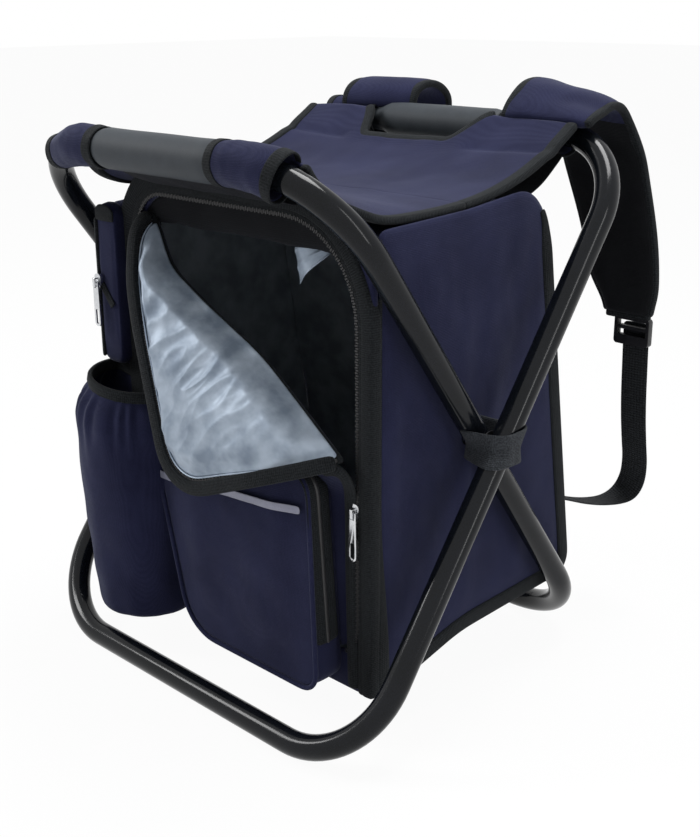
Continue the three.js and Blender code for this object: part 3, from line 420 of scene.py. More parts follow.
def tube_faces(rows: int, cols: int, closed: bool = False) -> Faces:
    """Faces of a tube through closed rows of points, capped unless its ends join."""
    faces = [(i * cols + j, i * cols + (j + 1) % cols, (i + 1) % rows * cols + (j + 1) % cols,
              (i + 1) % rows * cols + j) for i in range(rows if closed else rows - 1) for j in range(cols)]
    return faces if closed else faces + [tuple(range(cols))[::-1], tuple(range((rows - 1) * cols, rows * cols))]


def lay_grid(rows: int, cols: int, place: Callable[[float, float], Vector]) -> Grid:
    """Points of a sheet from their shares of the way down and across."""
    return [[place(i / rows, j / cols) for j in range(cols + 1)] for i in range(rows + 1)]


def grid_normals(grid: Grid) -> Grid:
    """Unit normals of a grid of points, from its rows and columns."""
    rows, cols = len(grid), len(grid[0])

    def normal(i: int, j: int) -> Vector:
        down = grid[min(i + 1, rows - 1)][j] - grid[max(i - 1, 0)][j]
        found = (grid[i][min(j + 1, cols - 1)] - grid[i][max(j - 1, 0)]).cross(down)
        return found.normalized() if found.length > 1e-9 else Vector((0, 0, 1))

    return [[normal(i, j) for j in range(cols)] for i in range(rows)]


def sheet_piece(name: str, grid: Grid, thickness: float | Callable[[int, int], float], finish: Finish) -> Piece:
    """A closed cloth slab round a grid of points.

    Args:
        name: The piece's name.
        grid: Rows of points on the cloth's middle surface.
        thickness: The cloth's thickness, or a function of row and column.
        finish: The material.

    Returns:
        The new object.
    """
    normals = grid_normals(grid)
    points, uvs = [], []
    for side in (1, -1):
        for i, line in enumerate(grid):
            for j, place in enumerate(line):
                depth = thickness(i, j) if callable(thickness) else thickness
                points.append(place + normals[i][j] * side * depth / 2)
                uvs.append((i * 6.0, j * 6.0))
    return mesh_piece(name, points, shell_faces(len(grid), len(grid[0])), finish, uvs)


def sleeve_piece(name: str, rings: Grid, wall: float, finish: Finish) -> Piece:
    """A tube of cloth through rings of points, open at both ends.

    Args:
        name: The piece's name.
        rings: Rings of equal point counts.
        wall: The cloth's thickness.
        finish: The material.

    Returns:
        The new object.
    """
    points, uvs = [], []
    for inner in (0, 1):
        for index, ring in enumerate(rings):
            centre = sum(ring, Vector()) / len(ring)
            points += [place - (place - centre).normalized() * wall * inner for place in ring]
            uvs += [(index * 4.0, k * 3.0) for k in range(len(ring))]
    return mesh_piece(name, points, shell_faces(len(rings), len(rings[0]), loop=True), finish, uvs)


def resample(points: Sequence[Vector], step: float, closed: bool = False) -> list[Vector]:
    """Evenly spaced points along a line.

    Args:
        points: The line.
        step: The wanted spacing.
        closed: Whether the line joins its start.

    Returns:
        The new points.
    """
    line = list(points) + ([points[0]] if closed else [])
    lengths = [0.0]
    for here, there in zip(line, line[1:]):
        lengths.append(lengths[-1] + (there - here).length)
    count = max(int(round(lengths[-1] / step)), 4)
    result, segment = [], 0
    for index in range(count if closed else count + 1):
        wanted = lengths[-1] * index / count
        while segment < len(line) - 2 and lengths[segment + 1] < wanted:
            segment += 1
        span = lengths[segment + 1] - lengths[segment]
        share = (wanted - lengths[segment]) / span if span > 1e-9 else 0.0
        result.append(line[segment].lerp(line[segment + 1], min(max(share, 0.0), 1.0)))
    return result


def curve(places: Iterable[Sequence[float]], steps: int) -> list[Vector]:
    """A smooth curve through places, with some steps between each two."""
    points, line = [Vector(place) for place in places], []
    for index in range(len(points) - 1):
        p0, p1 = points[max(index - 1, 0)], points[index]
        p2, p3 = points[index + 1], points[min(index + 2, len(points) - 1)]
        for t in (step / steps for step in range(steps)):
            line.append(0.5 * (2 * p1 + (p2 - p0) * t + (2 * p0 - 5 * p1 + 4 * p2 - p3) * t * t
                               + (3 * p1 - p0 - 3 * p2 + p3) * t ** 3))
    return line + [points[-1]]


def tangents(path: Sequence[Vector], closed: bool = False) -> list[Vector]:
    """Unit directions along a path."""
    count = len(path)
    found = []
    for index in range(count):
        before = path[(index - 1) % count] if closed else path[max(index - 1, 0)]
        after = path[(index + 1) % count] if closed else path[min(index + 1, count - 1)]
        found.append((after - before).normalized())
    return found


def strip_piece(name: str, path: Sequence[Vector], looks: Vector | Sequence[Vector], section: Outline,
                finish: Finish, closed: bool = False, soft: bool = True,
                scale: Callable[[float], float] = lambda share: 1.0) -> Piece:
    """Sweep a section along a path.

    Args:
        name: The piece's name.
        path: Points along the strip.
        looks: The way the strip's face looks, everywhere or at each point.
        section: The closed section as (across, out) pairs, anticlockwise.
        finish: The material.
        closed: Whether the strip joins its start.
        soft: Whether it is subdivided.
        scale: How the section grows with the share of the way along.

    Returns:
        The new object.
    """
    count, points, uvs, travelled = len(path), [], [], 0.0
    looks = [looks] * count if isinstance(looks, Vector) else looks
    for index, (place, along, look) in enumerate(zip(path, tangents(path, closed), looks)):
        travelled += (place - path[index - 1]).length if index else 0.0
        normal = (look - along * look.dot(along)).normalized()
        across, grow = normal.cross(along), scale(index / max(count - 1, 1))
        points += [place + across * a * grow + normal * b * grow for a, b in section]
        uvs += [(travelled, a) for a, _ in section]
    return mesh_piece(name, points, tube_faces(count, len(section), closed), finish, uvs, soft)


def flat_section(width: float, thickness: float, dome: float = 0.0) -> Outline:
    """A thin rounded strip's section, whose face may stand higher in its middle by dome."""
    half, thick = width / 2, thickness / 2
    return [(-half, -thick * 0.5), (-half * 0.8, -thick), (half * 0.8, -thick), (half, -thick * 0.5),
            (half, thick * 0.5), (half * 0.8, thick), (0, thick + dome), (-half * 0.8, thick), (-half, thick * 0.5)]


def round_section(radius: float, sides: int) -> Outline:
    """A round section."""
    turns = [2 * math.pi * k / sides for k in range(sides)]
    return [(radius * math.cos(turn), radius * math.sin(turn)) for turn in turns]


def rounded_outline(corners: Corners, step: float) -> Outline:
    """A closed outline with filleted corners and even points.

    Args:
        corners: (a, b, radius) of each corner, anticlockwise.
        step: The wanted spacing.

    Returns:
        The outline's points.
    """
    raw: list[Vector] = []
    for index, (a, b, radius) in enumerate(corners):
        here = Vector((a, b))
        back = (Vector(corners[index - 1][:2]) - here).normalized()
        onward = (Vector(corners[(index + 1) % len(corners)][:2]) - here).normalized()
        half = math.acos(max(-1.0, min(1.0, back.dot(onward)))) / 2
        centre = here + (back + onward).normalized() * radius / math.sin(half)
        start = here + back * radius / math.tan(half) - centre
        end = here + onward * radius / math.tan(half) - centre
        first = math.atan2(start.y, start.x)
        turn = math.atan2(start.x * end.y - start.y * end.x, start.dot(end))
        angles = [first + turn * share / 8 for share in range(9)]
        raw += [centre + Vector((math.cos(angle), math.sin(angle))) * radius for angle in angles]
    return [(p.x, p.y) for p in resample([p.to_3d() for p in raw], step, True)]


def inset_outline(outline: Outline, distance: float) -> Outline:
    """Move an anticlockwise outline inwards by a distance, keeping its point count."""
    moved = []
    for index, (a, b) in enumerate(outline):
        before, after = outline[index - 1], outline[(index + 1) % len(outline)]
        along = Vector((after[0] - before[0], after[1] - before[1])).normalized()
        moved.append((a - along.y * distance, b + along.x * distance))
    return moved


def bridge(outer: dict[int, int], inner: dict[int, int]) -> Faces:
    """Faces between two rings, of which the inner one may have fewer points.

    Args:
        outer: Vertex numbers of the outer ring by their place on the rim.
        inner: The same of the inner ring, at some of the same places.

    Returns:
        Quads, and triangles where the inner ring skips a place.
    """
    places, kept, faces = list(outer), list(inner), []
    for here, there in zip(kept, kept[1:] + kept[:1]):
        first = places.index(here)
        last = places.index(there) if there != kept[0] else len(places)
        if last - first == 1:
            faces.append((outer[here], outer[there], inner[there], inner[here]))
        else:
            middle = outer[places[first + 1]]
            faces += [(outer[here], middle, inner[here]), (middle, outer[there], inner[there]),
                      (middle, inner[there], inner[here])]
    return faces


def pad_piece(name: str, rim: Sequence[Vector], look: Vector, crown: Crown, thickness: float, finish: Finish,
              rings: int, centre: Vector | None = None,
              lay: Callable[[Vector, float], Vector] | None = None) -> Piece:
    """A closed padded panel inside a rim.

    Args:
        name: The piece's name.
        rim: The panel's outline, anticlockwise when seen against its look.
        look: The way its face looks.
        crown: Height of the face from the share of the way in and the place.
        thickness: Depth of the panel behind the rim.
        finish: The material.
        rings: How many rings of points lead inwards.
        centre: Where the rings close, the rim's middle if left out.
        lay: Turns a place on the flat panel and a height into a point, if the panel isn't flat.

    Returns:
        The new object.
    """
    count = len(rim)
    lift = lay or (lambda place, height: place + look * height)
    middle = centre or sum(rim, Vector()) / count
    points: list[Vector] = []
    faces: Faces = []
    edges: list[dict[int, int]] = []
    for way in (1, -1):
        kept, outer = list(range(count)), {}
        for ring in range(rings):
            share = 1 - (1 - ring / rings) ** 1.35
            if ring > rings - 6 and len(kept) > 11:
                kept = kept[::2]
            inner = {}
            for index in kept:
                flat = rim[index].lerp(middle, share)
                inner[index] = len(points)
                points.append(lift(flat, crown(share, flat) if way > 0 else -thickness))
            faces += [face[::way] for face in bridge(outer, inner)] if outer else []
            edges += [] if outer else [inner]
            outer = inner
        points.append(lift(middle, crown(1.0, middle) if way > 0 else -thickness))
        last = list(outer.values())
        faces += [(here, there, len(points) - 1)[::way] for here, there in zip(last, last[1:] + last[:1])]
    front, back = edges
    faces += [(front[k], back[k], back[(k + 1) % count], front[(k + 1) % count]) for k in range(count)]
    return mesh_piece(name, points, faces, finish)


def zip_teeth(name: str, path: Sequence[Vector], look: Vector, finish: Finish) -> Piece:
    """A row of zip teeth along a path, with its face looking one way."""
    pitch, width, height = 1.9, 2.6, 1.2
    half, thin = width / 2, pitch * 0.3
    corners = [(a, b, out) for out in (-height * 0.4, height * 0.6)
               for a, b in ((-half, -thin), (half, -thin), (half, thin), (-half, thin))]
    quads = ((3, 2, 1, 0), (4, 5, 6, 7), (0, 1, 5, 4), (1, 2, 6, 5), (2, 3, 7, 6), (3, 0, 4, 7))
    places = resample(path, pitch)
    points, faces = [], []
    for index, (place, along) in enumerate(zip(places, tangents(places))):
        across = look.cross(along).normalized()
        middle = place + across * (0.35 if index % 2 else -0.35)
        faces += [tuple(len(points) + corner for corner in quad) for quad in quads]
        points += [middle + across * a + along * b + look * out for a, b, out in corners]
    piece = mesh_piece(name, points, faces, finish, soft=False)
    piece.data.polygons.foreach_set("use_smooth", [False] * len(piece.data.polygons))
    return piece


def cast_piece(node: str, finish: Finish, width: float, segments: int, limit: float) -> Piece:
    """A CAD node's mesh with its edges rounded.

    Args:
        node: The CAD node.
        finish: The material.
        width: The bevel's width.
        segments: The bevel's segments.
        limit: The least angle of an edge that is rounded.

    Returns:
        The new object.
    """
    piece = bpy.data.objects.new(f"{node}_looks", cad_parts[node].data.copy())
    bpy.context.scene.collection.objects.link(piece)
    modify(mend_normals(piece), "BEVEL", width=width * MM, segments=segments, limit_method="ANGLE", angle_limit=limit)
    piece.data.materials.clear()
    piece.data.materials.append(finish)
    bpy.ops.object.shade_smooth_by_angle(angle=SMOOTH_ANGLE)
    return piece


def name_piece(piece: Piece, slot: Slot, nodes: Sequence[str]) -> Piece:
    """Hide the CAD nodes that a finished piece stands for, and log its face count."""
    if nodes:
        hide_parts(*nodes)
    log.info("%s: %d faces", piece.name, len(piece.data.polygons))
    return piece


def settle(piece: Piece, slot: Slot, *nodes: str, body: Body = Body.BAG) -> Piece:
    """Let a finished piece ride on a body.

    Args:
        piece: The finished piece.
        slot: The record's material slot, not used.
        nodes: CAD nodes it stands for.
        body: The body it rides on.

    Returns:
        The same piece.
    """
    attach(piece, body.value)
    return name_piece(piece, slot, nodes)


def bend(piece: Piece, slot: Slot, *nodes: str, body: Body, start: tuple[float, float],
         end: tuple[float, float]) -> Piece:
    """Bake a finished piece's transform into its mesh and hide the CAD nodes that it stands for.

    Args:
        piece: The finished piece.
        slot: The record's material slot, not used.
        nodes: CAD nodes it stands for.
        body: The loop's body, not used.
        start: The y and z up to which it would follow the bag, not used.
        end: The y and z from which it would follow the loop, not used.

    Returns:
        The same piece.
    """
    ends = [tuple(row(Vector((0, *place)))) for place in (start, end)]
    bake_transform(piece)
    return name_piece(piece, slot, nodes)


# ---- the tube frame


@dataclass
class TubeLoop:
    """One closed loop of bent tube, leaning on the shared pivot line."""

    name: str
    body: Body
    half_width: float
    bend_radius: float
    lean: float
    sides: int = 40
    bend_steps: int = 20

    @property
    def reach(self) -> float:
        """Where its top bar stops being straight."""
        return self.half_width - self.bend_radius

    @property
    def rise(self) -> float:
        """Where its upright tubes stop being straight."""
        return HALF_PITCH - self.bend_radius

    def turn(self, direction: Vector) -> Vector:
        """A direction of the upright loop, leaning with it."""
        return Matrix.Rotation(self.lean, 3, "X") @ direction

    def place(self, local: Vector) -> Vector:
        """A point of the upright loop, moved to where the loop leans."""
        return self.turn(local) + Vector((0, 0, PIVOT_Z))

    def build(self, finish: Finish) -> None:
        """Bend the tube: a ring is extruded along the straights and spun round the bends."""
        bpy.ops.object.select_all(action="DESELECT")
        bpy.ops.mesh.primitive_circle_add(vertices=self.sides, radius=TUBE_RADIUS * MM,
                                          location=(0, 0, HALF_PITCH * MM), rotation=(0, math.pi / 2, 0))
        piece = bpy.context.object
        piece.name = self.name
        bpy.ops.object.transform_apply(location=True, rotation=True, scale=True)
        bpy.ops.object.mode_set(mode="EDIT")
        bpy.ops.mesh.select_all(action="SELECT")
        reach, rise = self.reach * MM, self.rise * MM
        runs = [((reach, 0, 0), (reach, rise)), ((0, 0, -2 * rise), (reach, -rise)),
                ((-2 * reach, 0, 0), (-reach, -rise)), ((0, 0, 2 * rise), (-reach, rise))]
        for move, (x, z) in runs:
            bpy.ops.mesh.extrude_region_move(TRANSFORM_OT_translate={"value": move})
            bpy.ops.mesh.spin(steps=self.bend_steps, angle=-math.pi / 2, center=(x, 0, z), axis=(0, 1, 0))
        bpy.ops.mesh.extrude_region_move(TRANSFORM_OT_translate={"value": (reach, 0, 0)})
        bpy.ops.mesh.select_all(action="SELECT")
        bpy.ops.mesh.remove_doubles(threshold=1e-6)
        bpy.ops.mesh.normals_make_consistent(inside=False)
        bpy.ops.object.mode_set(mode="OBJECT")
        lean = Matrix.Rotation(self.lean, 4, "X")
        piece.data.transform(Matrix.Translation((0, PIVOT_Y * MM, PIVOT_Z * MM)) @ lean)
        piece.data.polygons.foreach_set("use_smooth", [True] * len(piece.data.polygons))
        piece.data.materials.append(finish)
        settle(piece, Slot.STEEL, f"{self.body.value}_tube", body=self.body)


@dataclass
class BarEnd:
    """What one top bar carries: its foam grip and two fabric sleeves with bound ends."""

    loop: TubeLoop
    prefix: str
    near: tuple[float, float]
    far: tuple[float, float]
    grip_low: float = -82.0
    grip_high: float = 62.0
    straight: float = 0.0

    def across(self, x: float) -> tuple[Vector, Vector, Vector]:
        """Centre, tangent and outward direction of the bar where the loop reaches x.

        Args:
            x: The place along the bar, measured along the tube.

        Returns:
            The centre, the direction along +X and the loop's outward direction.
        """
        reach, bend, sign = self.loop.reach, self.loop.bend_radius, 1.0 if x > 0 else -1.0
        over = max(abs(x) - reach, 0.0) / bend * (1.0 - self.straight if x < 0 else 1.0)
        if over <= 0:
            local, along, outward = Vector((x, 0, HALF_PITCH)), Vector((1, 0, 0)), Vector((0, 0, 1))
        else:
            local = Vector((sign * (abs(x) - bend * over + bend * math.sin(over)), 0,
                            self.loop.rise + bend * math.cos(over)))
            local.z -= 14.0 * self.straight * smooth(reach - 1, 135.0, -x)
            outward = Vector((sign * math.sin(over), 0, math.cos(over)))
            along = Vector((math.cos(over), 0, -sign * math.sin(over)))
        return self.loop.place(local), self.loop.turn(along), self.loop.turn(outward)

    def build_grip(self, finish: Finish) -> None:
        """Shape the foam grip, a little waved and drawn in where a sleeve covers it."""
        bpy.ops.object.select_all(action="DESELECT")
        length = self.grip_high - self.grip_low
        bpy.ops.mesh.primitive_cylinder_add(vertices=48, radius=14.6 * MM, depth=length * MM)
        piece = bpy.context.object
        piece.name = f"{self.prefix}_foam_grip_looks"
        bpy.ops.object.mode_set(mode="EDIT")
        bpy.ops.mesh.select_mode(type="EDGE")
        bpy.ops.mesh.select_all(action="DESELECT")
        for edge in bmesh.from_edit_mesh(piece.data).edges:
            edge.select_set(abs(edge.verts[0].co.z - edge.verts[1].co.z) > length * MM / 2)
        bmesh.update_edit_mesh(piece.data)
        bpy.ops.mesh.subdivide(number_cuts=28)
        bpy.ops.object.mode_set(mode="OBJECT")
        centre = self.loop.place(Vector((0, 0, HALF_PITCH)))
        for vertex in piece.data.vertices:
            x = self.grip_low + length / 2 + vertex.co.z / MM
            angle = math.atan2(vertex.co.y, vertex.co.x)
            radius = math.hypot(vertex.co.x, vertex.co.y) / MM
            draw = 1 - 0.24 * (1 - smooth(self.grip_low + 12, self.grip_low + 26, x))
            draw -= 0.10 * smooth(self.grip_high - 10, self.grip_high - 2, x)
            wave = 0.35 * crease(Vector((x, 9 * math.cos(angle), 9 * math.sin(angle))), 22, 3)
            radius = radius * draw + wave if radius > 1 else radius
            vertex.co = row(centre + Vector((x, radius * math.cos(angle), radius * math.sin(angle))))
        piece.data.polygons.foreach_set("use_smooth", [len(p.vertices) == 4 for p in piece.data.polygons])
        piece.data.materials.append(finish)
        settle(mend_normals(piece), Slot.FOAM, f"{self.prefix}_foam_grip", body=self.loop.body)

    def sleeve_radius(self, share: float, angle: float, x: float) -> float:
        """Radius of the sleeve.

        Args:
            share: From 0 at the grip to 1 at the outer end.
            angle: Round the bar, 0 towards the seat and 90 degrees up.
            x: The place along the bar.

        Returns:
            The radius in millimetres.
        """
        straight = self.straight if x < 0 else 0.0
        flare = 0.0 if straight else 2.4 * smooth(0.55, 1.0, share) * (0.4 + 0.6 * abs(math.cos(angle - 0.6)))
        place = Vector((x, 14 * math.cos(angle), 14 * math.sin(angle)))
        rough = 0.8 * crease(place, 16, 5) + 0.4 * crease(place, 7, 6)
        return 14.8 + flare + arc(min(share, 1.0)) + rough - 3.2 * straight * smooth(0.35, 1.0, share)

    def build_sleeve(self, side: int, palette: Palette) -> None:
        """Wrap one sleeve round the bar and bind both its ends."""
        start, end = self.near[side > 0], self.far[side > 0]
        name = f"{self.prefix}_sleeve_{side_word(side)}"
        facing = 1.0 if self.loop.lean > 0 else -1.0
        for part, first, last, steps, lift in (("cloth", 0.1, 0.93, 26, 0.0), ("inner_binding", 0.0, 0.14, 7, 0.8),
                                               ("outer_binding", 0.87, 1.0, 7, 0.8)):
            rings: Grid = []
            for share in (first + (last - first) * step / steps for step in range(steps + 1)):
                x = start + (end - start) * share
                centre, along, outward = self.across(x)
                seatward = outward.cross(along)
                seatward *= facing if seatward.y > 0 else -facing
                rings.append([centre + (seatward * a + outward * b) * (self.sleeve_radius(
                    share, math.atan2(b, a) % (2 * math.pi), x) + lift) for a, b in round_section(1.0, 36)])
            cloth = part == "cloth"
            piece = sleeve_piece(f"{name}_{part}", rings, 1.6, palette.navy if cloth else palette.tape)
            settle(piece, Slot.NAVY if cloth else Slot.CHARCOAL, *([name] if cloth else []), body=self.loop.body)

    def build(self, palette: Palette) -> None:
        """Build the grip and both sleeves."""
        self.build_grip(palette.foam)
        for side in (1, -1):
            self.build_sleeve(side, palette)


# ---- the seat


@dataclass
class Seat:
    """The padded seat sheet, hung between the bars with a bound notch at each grip."""

    half_width: float = 140.0
    end_y: float = 134.0
    end_z: float = 428.8
    notch: float = 20.0
    notch_half: float = 63.0
    shift: float = -4.5
    seam_y: float = 104.0
    columns: int = 64
    rows: int = 70

    def height(self, x: float, y: float) -> float:
        """Height of the seat's face."""
        edge = (abs(x) / self.half_width) ** 4
        place = Vector((x, y, 0))

        def profile(low: float, front_power: float) -> float:
            far, power = (self.end_y - low, 2.5) if y > low else (self.end_y + low, front_power)
            return SEAT_LOW + (self.end_z - SEAT_LOW) * (abs(y - low) / far) ** power

        middle, side = profile(0.0, 2.5), profile(-0.33 * self.end_y, 3.5)
        quilt = 1.5 * crease(place, 46, 2) + 0.6 * crease(place, 19, 4) + 1.8 * (1 - hill(abs(y), self.seam_y, 16))
        seam = 2.6 * hill(y, self.seam_y, 3.2) * smooth(58, 72, abs(x - self.shift))
        return middle + (side - middle) * edge + quilt * (1 - edge) - seam

    def end(self, x: float, front: bool) -> float:
        """How far the seat reaches at x, drawn in at the grip's notch."""
        off = x - self.shift
        slack = 4.0 if off < 0 or front else 16.0
        depth = self.notch if front else self.notch + 6.0
        return self.end_y - depth * (1 - smooth(self.notch_half - slack - 8, self.notch_half + 6, abs(off)))

    def place(self, down: float, across: float) -> Vector:
        """A point of the seat's face, from front to rear and left to right."""
        x = self.half_width * (2 * across - 1)
        low, high = -self.end(x, True), self.end(x, False)
        y = low + (high - low) * down
        drawn = smooth(-92.0, -134.0, y) * (abs(x) / self.half_width) ** 4
        return Vector((x * (1 - 0.12 * drawn), y, self.height(x, y) - 1.5 - 7.0 * drawn))

    def depth(self, _: int, j: int) -> float:
        """The padding's thickness at a column."""
        return 6.5 - 3.2 * abs(2 * j / self.columns - 1) ** 4

    def build(self, palette: Palette) -> None:
        """Build both halves of the sheet and the bindings of its edges."""
        grid, middle = lay_grid(self.rows, self.columns, self.place), self.rows // 2
        halves = (("front", Body.INNER, grid[:middle + 2], -1), ("rear", Body.OUTER, grid[middle:], 1))
        for word, body, part, way in halves:
            hold = {"body": body, "start": (20.0 * way, BLEND_Z), "end": (self.end_y * way, BLEND_Z)}
            piece = sheet_piece(f"seat_{word}", part, self.depth, palette.navy)
            bend(piece, Slot.NAVY, "seat_panel", **hold)
            notch = [p - Vector((0, 0, 3.5 * smooth(-116.0, -132.0, p.y))) for p in part[0 if way < 0 else -1]
                     if abs(p.x - self.shift) < self.notch_half + 10]
            for name, line in ((f"seat_edge_{word}_left", [line[0] for line in part]),
                               (f"seat_edge_{word}_right", [line[-1] for line in part]), (f"seat_notch_{word}", notch)):
                bend(self.bound(name, line, palette.tape), Slot.CHARCOAL, **hold)

    def bound(self, name: str, line: list[Vector], tape: Finish) -> Piece:
        """Sew a folded tape over one edge."""
        path = resample(line, 5.0)
        looks = [Vector((0, (self.height(p.x, p.y - 1) - self.height(p.x, p.y + 1)) / 2, 1)).normalized() for p in path]
        return strip_piece(name, path, looks, flat_section(10.5, 6.0, 0.4), tape)


# ---- the bag


def outward(outline: Outline, index: int) -> Vector:
    """The outward direction of a Y-Z outline at one of its points."""
    before, after = outline[index - 1], outline[(index + 1) % len(outline)]
    along = Vector((0, after[0] - before[0], after[1] - before[1])).normalized()
    return Vector((0, along.z, -along.y))


@dataclass
class BagShell:
    """The insulated bag: padded panels, bound edges and lining."""

    half_width: float = 150.0
    wall: float = 5.0
    bound_top: float = SEAT_LOW - 8.0
    profile: Corners = ((-91.7, 33.0, 8.0), (0.0, 54.0, 160.0), (143.0, 58.0, 14.0),
                        (89.0, SEAT_LOW + 9.0, 34.0), (0.0, SEAT_LOW, 90.0), (-91.7, SEAT_LOW - 3.5, 6.0))
    wrap: Corners = ((-97.0, 33.0, 8.0), (0.0, 54.0, 160.0), (143.0, 58.0, 14.0),
                     (89.0, SEAT_LOW + 1.0, 34.0), (0.0, SEAT_LOW - 10.5, 90.0), (-97.0, SEAT_LOW - 15.5, 6.0))

    def side_panel(self, side: int, palette: Palette) -> None:
        """One padded side panel."""
        look = Vector((side, 0, 0))
        outline = inset_outline(rounded_outline(self.profile, 6.0), 1.0)
        rim = [Vector((side * (self.half_width - 0.6), y, z)) for y, z in outline][::side]
        for place in rim if side < 0 else []:
            place.z -= 17.0 * smooth(-15.0, -88.0, place.y) * smooth(290.0, 375.0, place.z)

        def crown(share: float, place: Vector) -> float:
            folds = 2.1 * crease(place, 52, 11 + side, (1, 1.7, 0.5))
            folds += 1.1 * crease(place, 23, 13 + side, (1, 1.5, 0.8))
            return min(1.7 * smooth(0.0, 0.16, share) + folds * smooth(0.0, 0.25, share) * 0.75, 3.9)

        word = side_word(side)
        piece = pad_piece(f"bag_side_{word}", rim, look, crown, self.wall - 1.0, palette.navy, 26)
        settle(piece, Slot.NAVY, f"bag_{word}_panel")

    def side_binding(self, side: int, palette: Palette) -> None:
        """The tape round one side panel's edge, narrow up the front."""
        look = Vector((side, 0, 0))
        outline = inset_outline(rounded_outline(self.profile, 6.0), 4.8)
        line = [Vector((side * (self.half_width + 0.3), y, z)) for y, z in outline]
        first = next(k for k in range(len(line)) if line[k].z < self.bound_top <= line[k - 1].z)
        top = self.bound_top - (20.0 if side < 0 else 0.0)
        line = resample([p for p in line[first:] + line[:first] if p.z < top], 5.0)

        def width(share: float) -> float:
            place = line[round(share * (len(line) - 1))]
            if place.y < -60:
                return 0.22 + 0.78 * smooth(185.0, 45.0, place.z)
            return 0.4 + 0.6 * smooth(372.0, 335.0, place.z) if place.z > 330 else 1.0

        path = [p - Vector((0, 5.0 * (1 - width(k / (len(line) - 1))) * (p.y < -60), 0)) for k, p in enumerate(line)]
        word = side_word(side)
        edge = strip_piece(f"bag_binding_{word}", path, look, flat_section(13.0, 3.2, 0.4), palette.tape, scale=width)
        settle(edge, Slot.CHARCOAL, f"bag_{word}_binding")

    def wrap_panel(self, name: str, low: tuple[float, float], high: tuple[float, float], wavy: float,
                   palette: Palette) -> None:
        """One panel of the cloth that wraps round the bag between the sides.

        Args:
            name: The piece's name.
            low: Where the panel starts on the profile, as y and z.
            high: Where it ends, going anticlockwise.
            wavy: Height of its wrinkles.
            palette: The finishes.
        """
        outline = rounded_outline(self.wrap, 5.0)
        inner, count, half = inset_outline(outline, self.wall / 2), len(outline), self.half_width - 5.6
        first, last = (min(range(count), key=lambda k: math.dist(outline[k], end)) for end in (low, high))
        span = (last - first) % count

        def place(down: float, across: float) -> Vector:
            step = round(down * span)
            index = (first + step) % count
            edge = smooth(0, 12, min(step, span - step) * 5.0) * smooth(1.0, 0.86, abs(2 * across - 1))
            flat = Vector((half * (2 * across - 1), *inner[index]))
            return flat + outward(outline, index) * wavy * edge * crease(flat, 40, 21)

        settle(sheet_piece(name, lay_grid(span, 44, place), self.wall - 0.8, palette.navy), Slot.NAVY, f"{name}_panel")

    def lining(self, palette: Palette) -> None:
        """The crinkled lining, open at the front."""
        outline = inset_outline(rounded_outline(self.wrap, 7.0), self.wall + 1.2)
        keep = [k for k, (y, _) in enumerate(outline) if y > -88.5]
        start = next(k for k in keep if (k - 1) % len(outline) not in keep)
        order = [(start + step) % len(outline) for step in range(len(keep))]
        half = self.half_width - self.wall - 1.4

        def place(down: float, across: float) -> Vector:
            index = order[round(down * (len(order) - 1))]
            flat = Vector((half * (2 * across - 1), *outline[index]))
            return flat - outward(outline, index) * (1.4 + 2.2 * crease(flat, 34, 31) + 1.0 * crease(flat, 15, 33))

        # The wrap and both walls of the lining take the foil copy with painted shade.
        shell = sheet_piece("lining_wrap", lay_grid(len(order) - 1, 40, place), 0.8, palette.shade)
        settle(shell, Slot.LINING, "cooler_lining")
        for side in (1, -1):
            def crown(share: float, spot: Vector) -> float:
                return (1.2 + 2.4 * crease(spot, 38, 35 + side) + 1.2 * crease(spot, 17, 37)) * smooth(0, 0.2, share)

            rim = resample([Vector((side * half, *outline[index])) for index in order], 8.0, True)[::-side]
            wall = pad_piece(f"lining_{side_word(side)}", rim, Vector((-side, 0, 0)), crown, 0.6, palette.shade, 18)
            settle(wall, Slot.LINING)

    def build(self, palette: Palette) -> None:
        """Build every panel and the lining."""
        for side in (1, -1):
            self.side_panel(side, palette)
            self.side_binding(side, palette)
        self.wrap_panel("bag_bottom", (-91.0, 33.5), (141.0, 80.0), 1.0, palette)
        self.wrap_panel("bag_back", (139.0, 83.0), (42.0, 375.0), 2.0, palette)
        self.wrap_panel("bag_top", (38.0, 375.0), (-91.5, 366.0), 1.0, palette)
        self.lining(palette)


